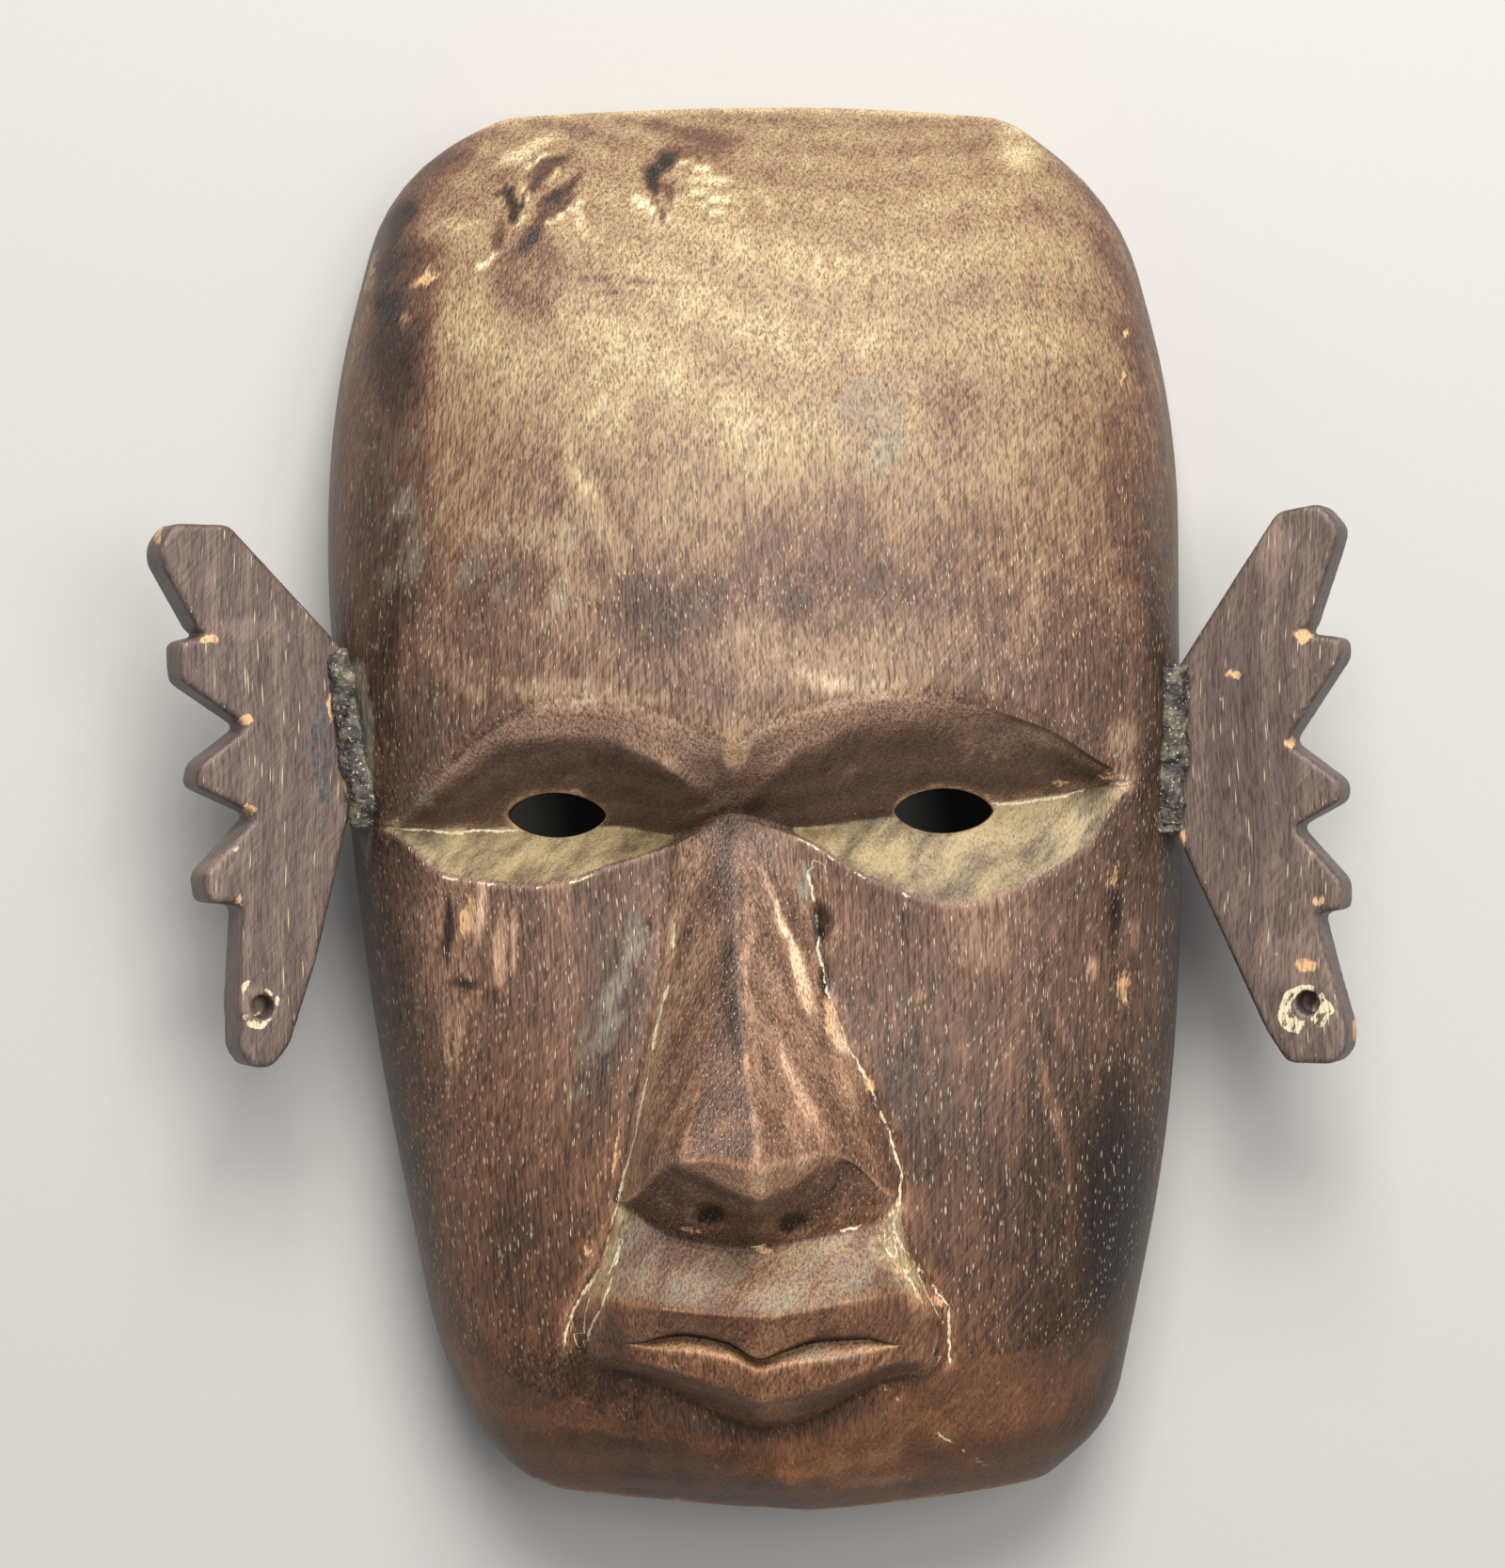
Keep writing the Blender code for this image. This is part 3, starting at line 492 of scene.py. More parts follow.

# Lighter and darker places on the face: across, up, how far each reaches across and up in millimetres, how
# far it is turned anticlockwise in degrees, and how strong it is. Mostly stain worn thin (above 0) or lying
# thick (below 0); the rows marked below are painted shade and painted highlights instead.
TONES = (
    # Darker down the left of the forehead and its shoulder
    (-0.782, 0.695, 6.5, 14.7, 0, -0.20),
    (-0.797, 0.442, 6.8, 27.5, 0, -0.16),
    (-0.754, 0.949, 8.3, 8.3, 0, -0.12),
    (-0.868, 0.811, 5.0, 9.9, 0, -0.10),
    # The forehead is worn palest in the middle, over the nose and along the brows
    (-0.021, 0.614, 23.8, 27.0, 0, 0.06),
    (0.142, 0.213, 23.5, 9.4, 0, 0.08),
    (-0.081, 0.106, 14.1, 4.1, 0, 0.08),
    (0.539, 0.088, 9.6, 2.2, 0, 0.12),
    # Dark stain low on the right cheek, with painted shade along its lower outer edge, and dark stain on the
    # left cheek towards the jaw
    (0.681, -0.564, 9.7, 29.0, 0, -0.15),
    # Painted shade along the right cheek's lower outer edge
    (0.821, -0.544, 5.5, 21.2, 0, -0.28),
    (0.478, -0.572, 6.4, 19.2, 0, -0.08),
    (-0.499, -0.612, 8.0, 14.4, 0, -0.09),
    (-0.438, -0.794, 9.6, 9.6, 0, -0.06),
    # Dark strips beside the nose, and painted shade in the nostrils
    (-0.348, -0.338, 5.4, 19.2, -16, -0.10),
    (0.362, -0.422, 7.3, 12.8, 0, -0.14),
    # Painted shade in the nostrils
    (-0.094, -0.548, 1.9, 1.4, 0, -0.35),
    (0.086, -0.560, 1.9, 1.4, 0, -0.35),
    # Worn patches under both lids and on the nose, and painted highlights on the upper lip
    (0.540, -0.158, 9.6, 8.0, 0, 0.08),
    (-0.680, -0.198, 4.8, 12.9, 0, 0.10),
    (0.081, -0.356, 3.1, 17.2, 10, 0.06),
    # Painted highlights on the upper lip's right half
    (0.143, -0.620, 9.4, 4.1, 0, 0.08),
    (0.061, -0.661, 7.8, 1.9, 0, 0.05),
    # Strokes over the forehead
    (0.610, 0.937, 3.6, 4.9, 25, 0.14),
    (-0.547, 0.836, 0.8, 3.9, 12, -0.40),
    (-0.526, 0.847, 0.7, 2.3, -18, -0.34),
    (-0.565, 0.861, 1.3, 0.7, 10, -0.30),
    (-0.457, 0.902, 4.3, 0.8, 34, -0.26),
    (-0.472, 0.881, 3.9, 0.8, 34, -0.28),
    (-0.431, 0.861, 4.6, 1.0, 34, -0.34),
    (-0.442, 0.837, 3.6, 1.0, 34, -0.26),
    (-0.471, 0.809, 3.9, 1.0, 38, -0.24),
    (-0.491, 0.786, 3.2, 1.1, 38, -0.20),
    (-0.502, 0.740, 6.4, 7.1, 0, -0.14),
    (-0.568, 0.797, 0.8, 2.6, 8, -0.22),
    (-0.472, 0.913, 3.6, 0.4, 33, 0.30),
    (-0.449, 0.885, 2.9, 0.4, 34, 0.26),
    (-0.420, 0.825, 4.2, 0.4, 35, 0.34),
    (-0.588, 0.760, 2.9, 0.5, 36, 0.40),
    (-0.530, 0.810, 1.9, 0.5, 44, 0.30),
    (-0.516, 0.860, 0.5, 2.0, 10, 0.30),
    (-0.386, 0.813, 1.1, 1.9, 20, 0.22),
    (-0.512, 0.927, 5.9, 1.5, 30, 0.18),
    (-0.634, 0.813, 4.2, 0.5, 20, 0.12),
    (-0.224, 0.878, 1.3, 2.9, 14, -0.44),
    (-0.203, 0.896, 1.3, 2.3, -20, -0.34),
    (-0.187, 0.911, 2.3, 2.0, 0, -0.22),
    (-0.115, 0.939, 6.6, 3.3, -8, -0.13),
    (-0.206, 0.828, 0.6, 1.9, 14, -0.34),
    (-0.181, 0.856, 0.8, 2.3, 14, -0.16),
    (-0.123, 0.899, 3.6, 0.5, -12, 0.34),
    (-0.110, 0.878, 3.2, 0.5, -10, 0.20),
    (-0.101, 0.857, 4.2, 0.5, -14, 0.30),
    (-0.072, 0.878, 1.9, 0.5, -14, 0.26),
    (-0.076, 0.831, 3.9, 0.5, -18, 0.26),
    (-0.244, 0.839, 3.2, 0.4, -38, 0.42),
    (-0.153, 0.842, 1.6, 1.3, 0, 0.12),
    (-0.165, 0.893, 0.5, 2.0, 10, 0.26),
    (-0.215, 0.972, 1.7, 1.3, 0, -0.12),
    (-0.794, 0.845, 3.3, 2.6, 20, -0.26),
    (-0.810, 0.812, 1.6, 1.3, 0, -0.12),
    (-0.828, 0.709, 2.9, 1.5, 8, -0.30),
    (-0.809, 0.683, 2.3, 0.7, -20, -0.26),
    (-0.782, 0.684, 1.3, 1.0, 0, 0.30),
    (-0.880, 0.756, 1.0, 3.3, 0, 0.26),
    (-0.867, 0.786, 1.0, 1.5, 0, 0.26),
    (-0.739, 0.739, 1.6, 0.5, 10, 0.40),
    (-0.729, 0.755, 0.7, 1.1, 20, 0.30),
    (-0.699, 0.815, 4.9, 0.8, 24, 0.10),
    (-0.312, 0.726, 6.4, 0.5, -6, -0.10),
    (-0.208, 0.722, 6.4, 0.4, -4, -0.10),
    (-0.291, 0.707, 8.0, 0.4, -8, -0.09),
    (-0.332, 0.683, 6.4, 0.4, -4, -0.07),
    (-0.673, 0.731, 6.5, 0.4, -28, -0.08),
    (-0.628, 0.688, 8.1, 0.4, -28, -0.08),
    (-0.568, 0.313, 9.2, 6.0, 0, -0.12),
    (-0.169, 0.270, 10.3, 6.6, 10, -0.15),
    (-0.336, 0.396, 2.5, 8.5, 30, 0.13),
    (-0.374, 0.458, 1.6, 6.3, 28, 0.10),
    (-0.435, 0.355, 4.1, 4.7, 0, 0.05),
    (-0.437, 0.167, 9.4, 1.6, 0, 0.14),
    (-0.617, 0.158, 4.8, 1.0, -28, 0.14),
    (0.150, 0.173, 5.3, 1.4, -8, 0.18),
    (0.295, 0.157, 6.3, 1.3, 0, 0.12),
    (0.617, 0.280, 1.4, 9.5, -8, 0.07),
    (0.214, 0.277, 11.0, 6.3, 0, -0.05),
    (-0.671, 0.204, 8.0, 2.9, -25, 0.08),
    (-0.330, 0.589, 6.4, 12.7, 15, 0.04),
    (0.822, 0.089, 3.2, 3.9, 0, 0.18),
    (0.000, 0.496, 4.7, 9.5, 20, 0.05),
    (0.327, 0.380, 4.1, 9.5, 24, 0.05),
    (0.206, 0.588, 3.2, 12.7, 22, -0.05),
    (0.434, 0.564, 3.8, 12.7, 20, -0.04),
    (0.081, 0.277, 4.1, 3.1, 0, -0.08),
    # Brow, nose and cheeks
    (-0.315, 0.148, 14.1, 0.9, 0, 0.14),
    (-0.035, 0.072, 2.5, 1.6, 0, 0.35),
    (-0.562, -0.202, 1.0, 6.7, 0, 0.30),
    (-0.535, -0.184, 0.5, 5.8, 0, 0.30),
    (-0.608, -0.143, 1.0, 4.8, 0, 0.34),
    (-0.675, -0.171, 1.1, 5.5, 0, -0.36),
    (-0.643, -0.245, 2.3, 1.0, 0, -0.26),
    (-0.682, -0.348, 0.6, 7.4, 0, 0.24),
    (-0.661, -0.328, 0.5, 4.8, 0, 0.20),
    (-0.626, -0.315, 2.2, 9.6, 0, 0.05),
    (-0.056, -0.390, 3.4, 8.7, 0, 0.05),
    (0.037, -0.131, 0.6, 6.4, 20, 0.22),
    (0.066, -0.170, 0.5, 6.4, 20, 0.26),
    (0.095, -0.229, 0.8, 8.6, 20, 0.40),
    (0.120, -0.247, 0.5, 6.4, 20, 0.26),
    (0.085, -0.364, 0.6, 8.1, 18, 0.24),
    (0.122, -0.406, 0.5, 7.2, 20, 0.20),
    (0.150, -0.165, 1.1, 4.2, 0, -0.34),
    (0.158, -0.243, 0.8, 4.5, 0, -0.30),
    (0.186, -0.299, 0.8, 4.8, 18, 0.26),
    (0.206, -0.374, 0.8, 5.4, 20, 0.16),
    (-0.041, -0.256, 1.6, 11.0, 2, -0.10),
    (0.000, -0.305, 0.9, 12.5, 4, 0.10),
    (0.663, -0.394, 1.0, 13.8, 14, 0.16),
    (0.691, -0.316, 0.6, 9.7, 14, 0.12),
    (0.759, -0.228, 0.6, 2.3, 0, 0.26),
    (0.862, -0.175, 1.0, 3.6, 0, 0.24),
    (0.810, -0.150, 1.0, 3.2, 0, -0.28),
    (0.374, -0.257, 0.5, 1.4, -20, 0.24),
    (-0.229, -0.171, 0.6, 0.6, 0, -0.40),
    # Painted shade in the hollow at the nose's root
    (-0.042, 0.010, 6.4, 4.2, 0, -0.08),
    (-0.010, -0.181, 0.8, 9.5, 0, 0.12),
    (-0.083, -0.093, 1.9, 6.4, 0, -0.08),
    (-0.415, -0.377, 2.2, 12.8, -6, 0.05),
    (0.499, -0.352, 1.6, 14.4, 6, -0.06),
    (0.415, -0.416, 1.3, 12.8, 10, 0.06),
    # Jaw and chin
    (0.062, -0.825, 3.8, 2.2, 0, 0.12),
    (0.273, -0.918, 9.7, 3.2, 0, 0.08),
    (0.608, -0.813, 11.3, 8.1, 0, 0.02),
    (-0.334, -0.861, 8.0, 0.5, -12, 0.10),
    (-0.438, -0.808, 6.4, 1.0, -20, 0.06),
    (-0.500, -0.729, 1.0, 8.0, 0, 0.06),
    (0.105, -0.930, 9.7, 1.6, -10, 0.06),
    (0.417, -0.835, 8.0, 0.5, 30, 0.08),
)
# Grey wax and dust, with a painted sheen and a partly painted highlight among them
FILMS_AND_PAINTED_SHEEN = (
    (-0.493, 0.330, 19.0, 12.6, 0, 0.35),
    # Painted sheen: a bluish-grey highlight on the forehead right of the middle
    (0.257, 0.516, 7.0, 10.4, 0, 0.55),
    (-0.785, 0.388, 4.8, 21.0, 0, 0.4),
    (-0.262, -0.170, 2.9, 4.5, -15, 0.55),
    (-0.289, -0.258, 3.2, 8.6, -12, 0.3),
    (-0.880, 0.076, 2.6, 18.0, 0, 1.0),
    (-0.353, -0.338, 4.2, 14.4, -16, 0.45),
    (0.115, -0.096, 1.4, 4.2, 0, 0.7),
    # Grey on the lower lip's top face: worn, and partly painted highlight where it faces up
    (0.164, -0.744, 7.9, 1.3, 0, 0.6),
    (-0.124, 0.010, 9.6, 1.6, 0, 0.3),
    (-0.728, 0.017, 1.9, 1.6, 0, 0.6),
)
# Blue-green paint
PAINTS = (
    (-0.902, 0.089, 2.3, 14.7, 0, 0.7),
)
# Chips down to bare wood
CHIPS = (
    (-0.634, -0.159, 1.1, 3.9, 0, 1.0),
    (0.830, -0.251, 1.1, 3.6, 8, 0.8),
    (0.800, -0.101, 1.0, 1.9, 0, 0.7),
    (-0.728, 0.740, 1.8, 0.8, 25, 0.9),
    (-0.871, 0.769, 0.7, 2.0, 0, 0.8),
    (0.831, 0.657, 0.5, 0.8, 0, 1.0),
    (0.831, 0.596, 0.5, 1.5, 0, 1.0),
    (-0.035, 0.074, 1.9, 1.1, 0, 0.9),
    (0.688, 0.038, 1.3, 0.6, 0, 0.8),
    (0.786, 0.045, 1.9, 0.5, 5, 0.8),
    (-0.133, -0.577, 3.2, 0.5, 8, 0.8),
    (0.021, -0.599, 2.1, 0.5, 0, 0.8),
    (-0.006, 1.001, 0.8, 0.5, 0, 1.0),
    (0.257, -0.379, 1.1, 1.4, 20, 0.9),
    (0.174, -0.288, 0.6, 3.2, 14, 0.9),
    (-0.306, -0.473, 0.5, 4.1, -10, 0.8),
    (-0.361, -0.609, 0.8, 1.9, 0, 0.7),
    (0.319, -0.624, 3.2, 0.8, -40, 0.6),
    (0.415, -0.682, 1.3, 0.8, -40, 0.9),
    (-0.805, -0.027, 0.8, 1.5, 0, 0.8),
)
# Pits, with their depth in millimetres last
PITS = (
    (-0.094, -0.548, 2.5, 1.9, 0, 1.6),
    (0.086, -0.560, 2.6, 1.9, 0, 1.6),
    (-0.229, -0.165, 0.8, 1.1, 0, 0.8),
    (-0.660, -0.165, 2.3, 5.5, 0, 0.7),
    (-0.632, -0.152, 0.8, 4.2, 0, 0.3),
    (0.815, -0.168, 1.6, 5.5, 0, 0.8),
    (0.839, -0.257, 1.5, 3.3, 15, 0.5),
    (0.148, -0.165, 1.0, 3.8, 0, 0.9),
    (0.158, -0.243, 0.8, 4.2, 0, 0.7),
    (-0.549, 0.837, 1.5, 3.9, 10, 0.3),
    (-0.220, 0.878, 2.3, 2.3, 0, 0.22),
    (-0.826, 0.711, 2.3, 2.0, 0, 0.4),
    (-0.728, 0.740, 2.3, 1.1, 20, 0.3),
    (-0.035, 0.067, 1.4, 2.0, 0, 0.5),
    (-0.420, 0.825, 4.2, 0.6, 36, -0.15),
)
# Cuts of the knife as lines of places: half the cut's width and its depth in millimetres, how much pale
# dust and how much of the wood's raw edge shows in it, and the places
CUTS = (
    (
        1.0,
        0.55,
        0.62,
        (
            (-0.170, -0.164), (-0.182, -0.235), (-0.197, -0.273), (-0.235, -0.383), (-0.281, -0.505),
            (-0.300, -0.547),
        ),
    ),
    (
        1.2,
        0.80,
        0.66,
        (
            (0.129, -0.093), (0.142, -0.165), (0.158, -0.242), (0.205, -0.321), (0.257, -0.378),
            (0.308, -0.459), (0.327, -0.507), (0.325, -0.544),
        ),
    ),
    (
        0.9,
        0.50,
        0.72,
        (
            (-0.300, -0.549), (-0.311, -0.570), (-0.331, -0.624), (-0.373, -0.669), (-0.403, -0.709),
            (-0.414, -0.736),
        ),
    ),
    (0.9, 0.50, 0.72, ((0.309, -0.568), (0.326, -0.600), (0.432, -0.686), (0.437, -0.761))),
    (0.6, 0.25, 0.55, ((0.284, -0.594), (0.350, -0.644), (0.393, -0.698), (0.372, -0.749))),
    (0.6, 0.25, 0.45, ((-0.288, -0.605), (-0.318, -0.665), (-0.362, -0.726))),
    (0.4, 0.15, 0.3, ((0.308, -0.806), (0.495, -0.908))),
    (
        0.6,
        0.25,
        0.1,
        (
            (-0.291, -0.546), (-0.183, -0.580), (0.000, -0.595), (0.094, -0.585), (0.285, -0.561),
            (0.325, -0.542),
        ),
    ),
    (0.5, 0.20, 0.9, ((-0.821, -0.029), (-0.695, -0.036), (-0.537, -0.032))),
    (0.5, 0.25, 0.9, ((0.545, 0.004), (0.700, 0.018), (0.838, 0.036))),
)


def through(points):
    """A smooth curve through (place, value) points that never overshoots them and is level past its ends."""
    places, values = np.array(points, float).T
    steps = np.diff(places)
    slopes = np.diff(values) / steps
    tangents = np.concatenate([slopes[:1], np.zeros(len(places) - 2), slopes[-1:]])
    for i in range(1, len(places) - 1):
        before, after = slopes[i - 1], slopes[i]
        if before * after > 0:
            near, far = 2 * steps[i] + steps[i - 1], steps[i] + 2 * steps[i - 1]
            tangents[i] = (near + far) / (near / before + far / after)

    def value(place):
        place = np.clip(place, places[0], places[-1])
        i = np.clip(np.searchsorted(places, place) - 1, 0, len(steps) - 1)
        t = (place - places[i]) / steps[i]
        rest = 1 - t
        return (
            values[i] * rest**2 * (1 + 2 * t)
            + values[i + 1] * t**2 * (3 - 2 * t)
            + steps[i] * t * rest * (tangents[i] * rest - tangents[i + 1] * t)
        )

    return value


def layered(up, lines, heights):
    """Straight slopes between lines that run across the face, highest line first."""
    result = np.array(np.broadcast_to(heights[0], np.shape(up)), float)
    for upper, lower, start, end in zip(lines, lines[1:], heights, heights[1:]):
        share = np.clip((upper - up) / np.maximum(upper - lower, 1e-4), 0, 1)
        result = np.where(up < upper, start + (end - start) * share, result)
    return result


def eased(share):
    share = np.clip(share, 0, 1)
    return share * share * (3 - 2 * share)


def lower_lip_front(across):
    edge = LINES["lip_edge"](across)
    return edge + (LINES["foot"](across) - edge) * LIP_FRONT_SHARE


# The lines across the face from the chin up, each with the rows of the mesh below it
LINES = {
    "foot": through(LIP_FOOT),
    "lip_edge": through(LIP_EDGE),
    "mouth": through(MOUTH_LINE),
    "muzzle": through(MUZZLE_CREST),
    "base": through(NOSE_BASE),
    "facet": through(NOSE_TIP_FACET),
    "front_edge": through(NOSE_FRONT_EDGE),
    "lid": through(LID_EDGE),
    "eye": through(EYE_LINE),
    "socket": through(SOCKET_TOP),
    "crest": through(BROW_CREST),
}
ROW_LINES = (
    LINES["foot"],
    lower_lip_front,
    LINES["lip_edge"],
    LINES["mouth"],
    LINES["muzzle"],
    LINES["base"],
    LINES["facet"],
    LINES["front_edge"],
    LINES["lid"],
    LINES["eye"],
    LINES["socket"],
    LINES["crest"],
)
LEFT, RIDGE, RIGHT = through(CREASE_LEFT), through(MIDDLE_RIDGE), through(CREASE_RIGHT)
ARRIS = through(NOSE_LEFT_ARRIS)


def slit_line(across):
    """Where the mouth's slit is deepest."""
    mouth = LINES["mouth"](across)
    return mouth + (LINES["lip_edge"](across) - mouth) * SLIT_SHARE


def cheek_hollow(across, up):
    """How far the cheek sinks beside the nose's upper half."""
    away = np.maximum(np.maximum(LEFT(up) - across, across - RIGHT(up)), 0)
    low, high = CHEEK_HOLLOW_UP
    return CHEEK_HOLLOW * np.clip(1 - away / CHEEK_HOLLOW_REACH, 0, 1) * eased((up - low) / (high - low))


def brow_and_cheeks(edge_share, across, up):
    """The forehead, the brow over both sockets, the lower lids and the cheeks."""
    dome = (1 - np.abs(edge_share) ** DOME_POWER) ** (1 / DOME_POWER)
    forehead, cheeks = through(FOREHEAD_CROWN), through(CHEEK_CROWN)
    sideways = eased((np.abs(across) - TEMPLE_ACROSS[0]) / (TEMPLE_ACROSS[1] - TEMPLE_ACROSS[0]))

    def arched(crown, at_up):
        temple = eased((at_up - TEMPLE[0]) / (TEMPLE[1] - TEMPLE[0]))
        flank = cheeks(at_up) + (forehead(at_up) - cheeks(at_up)) * temple
        own = crown(at_up)
        return SIDE_EDGE + (own + (flank - own) * sideways - SIDE_EDGE) * dome

    crest, socket, eye, lid = (LINES[name](across) for name in ("crest", "socket", "eye", "lid"))
    at_crest, at_lid = arched(forehead, crest), arched(cheeks, lid) - cheek_hollow(across, lid)
    at_socket = arched(forehead, socket) - through(BROW_BAND_DROP)(across)
    at_eye = at_lid - through(SOCKET_DEPTH)(across)
    sloped = layered(up, (crest, socket, eye, lid), (at_crest, at_socket, at_eye, at_lid))
    cheek = arched(cheeks, up) - cheek_hollow(across, up)
    return np.where(up > crest, arched(forehead, up), np.where(up < lid, cheek, sloped))


def muzzle_lift(across, up):
    """How far the part that carries the lips stands out from the cheeks."""
    names = ("base", "muzzle", "mouth", "lip_edge", "foot")
    base, crest, mouth, lip_edge, foot = (LINES[name](across) for name in names)
    height = {name: value - MUZZLE_HEIGHTS["foot"] for name, value in MUZZLE_HEIGHTS.items()}
    open_share = eased((MOUTH_HALF_WIDTH - np.abs(across - MOUTH_MIDDLE)) / MOUTH_CORNER_CLOSING)
    closed = (height["mouth"] + height["lip_edge"]) / 2
    in_slit = closed + (height["slit"] - closed) * open_share
    lines = (base, crest, mouth, slit_line(across), lip_edge, lower_lip_front(across), foot)
    upper_lip = (height["base"], height["crest"], height["mouth"])
    heights = (*upper_lip, in_slit, height["lip_edge"], height["lip_front"], 0)
    lift = layered(up, lines, heights)
    closing = eased((LINES["muzzle"](across) - up) / LIP_CORNER_CLOSING)
    corner_left, corner_right = LIP_CORNERS
    left, right = LEFT(up), RIGHT(up)
    left, right = left + (corner_left - left) * closing, right + (corner_right - right) * closing
    share = np.clip(np.abs(across - (left + right) / 2) / ((right - left) / 2), 0, 1)
    fade = np.clip(1 - (up - LINES["base"](across)) / 0.25, 0, 1)
    return lift * fade * (1 - share**MUZZLE_SIDE_POWER) ** MUZZLE_SIDE_STEEPNESS


def nose_share(across, up):
    """0 outside the nose and 1 along its ridge."""
    left, arris, ridge, right = LEFT(up), ARRIS(up), RIDGE(up), RIGHT(up)
    middle = NOSE_LEFT_ARRIS_SHARE
    side = middle * np.clip((across - left) / (arris - left), 0, 1) ** NOSE_SIDE_POWER
    front = middle + (1 - middle) * np.clip((across - arris) / (ridge - arris), 0, 1)
    other = np.clip((right - across) / (right - ridge), 0, 1) ** NOSE_SIDE_POWER
    return np.where(across > ridge, other, np.where(across > arris, front, side))


def front_height(size, edge_share, x, y):
    """Height of the carved front above the rim. edge_share is -1 at the outline's left and 1 at its right."""
    across, up = x / (size.width / 2), y / (size.length / 2)
    face = brow_and_cheeks(edge_share, across, up)
    muzzle = face + muzzle_lift(across, up)
    edge, facet, base = (LINES[name](across) for name in ("front_edge", "facet", "base"))
    ridge_height = through(NOSE_RIDGE_HEIGHT)
    front = muzzle + np.maximum(ridge_height(up) - muzzle, 0) * nose_share(across, up)
    edge_share_up = nose_share(across, edge)
    at_edge = muzzle + np.maximum(ridge_height(edge) - muzzle, 0) * edge_share_up
    at_facet = at_edge - NOSE_TIP_FACET_DROP * edge_share_up
    under = layered(up, (edge, facet, base), (at_edge, at_facet, muzzle))
    in_nose = (across > LEFT(up)) & (across < RIGHT(up)) & (up < LINES["eye"](across))
    height = np.where(in_nose & (up > edge), front, muzzle)
    height = np.where(in_nose & (up <= edge) & (up > base), under, height)
    ridge = RIDGE(up)
    roof = np.clip(1 - np.abs(across - ridge) / CHIN_RIDGE_REACH, 0, 1)
    height = height + CHIN_RIDGE_RISE * roof * eased((LINES["foot"](across) - up) / 0.08)
    return height * size.depth


def rounded_outline(corners, steps=6):
    """A closed polygon whose corners are cut back and rounded. The third number of a corner is the length
    it takes from each side of it.
    """
    points = []
    count = len(corners)
    for i, (x, y, cut) in enumerate(corners):
        here = Vector((x, y))
        back = Vector(corners[i - 1][:2]) - here
        on = Vector(corners[(i + 1) % count][:2]) - here
        cut = min(cut, 0.48 * back.length, 0.48 * on.length)
        start, end = here + back.normalized() * cut, here + on.normalized() * cut
        for k in range(steps + 1):
            t = k / steps
            points.append(start * (1 - t) ** 2 + here * 2 * t * (1 - t) + end * t**2)
    return points


def face_outline(size, inset=0.0):
    """The outline in metres, clockwise from the top, moved inwards by inset."""
    half_width, half_length = size.width / 2, size.length / 2
    edge = rounded_outline([(a * half_width, b * half_length, c * half_width) for a, b, c in OUTLINE_CORNERS])
    if not inset:
        return edge
    moved = []
    for i, here in enumerate(edge):
        along = (edge[(i + 1) % len(edge)] - edge[i - 1]).normalized()
        moved.append(here + Vector((along.y, -along.x)) * inset)
    return moved


def outline_between(outline, start, end):
    """A function from a share to the place along the outline, clockwise from start to end."""
    first, last = (
        min(range(len(outline)), key=lambda i: (outline[i] - place).length) for place in (start, end)
    )
    if last <= first:
        last += len(outline)
    run = np.array([outline[i % len(outline)] for i in range(first, last + 1)])
    along = np.concatenate([[0], np.cumsum(np.linalg.norm(np.diff(run, axis=0), axis=1))])

    def place(share):
        at = share * along[-1]
        return np.stack([np.interp(at, along, run[:, k]) for k in (0, 1)], axis=-1)

    return place


def patch_over(size, outline):
    """A function from shares across and up to places in plan that fill the outline."""
    corners = [Vector((a * size.width / 2, b * size.length / 2)) for a, b in GRID_CORNERS]
    right, bottom, left, top = (outline_between(outline, corners[k], corners[(k + 1) % 4]) for k in range(4))
    low_left, low_right, top_left, top_right = bottom(1.0), bottom(0.0), top(0.0), top(1.0)

    def place(s, t):
        s3, t3 = s[..., None], t[..., None]
        sides = left(t) * (1 - s3) + right(1 - t) * s3
        ends = bottom(1 - s) * (1 - t3) + top(s) * t3
        low, high = low_left * (1 - s3) + low_right * s3, top_left * (1 - s3) + top_right * s3
        return sides + ends - low * (1 - t3) - high * t3

    return place


def split(stops, counts):
    """Shares between stops, evenly, along the last axis."""
    parts = [stops[..., :1]]
    for k, count in enumerate(counts):
        steps = np.arange(1, count + 1) / count
        parts.append(stops[..., k : k + 1] + (stops[..., k + 1 : k + 2] - stops[..., k : k + 1]) * steps)
    return np.concatenate(parts, axis=-1)


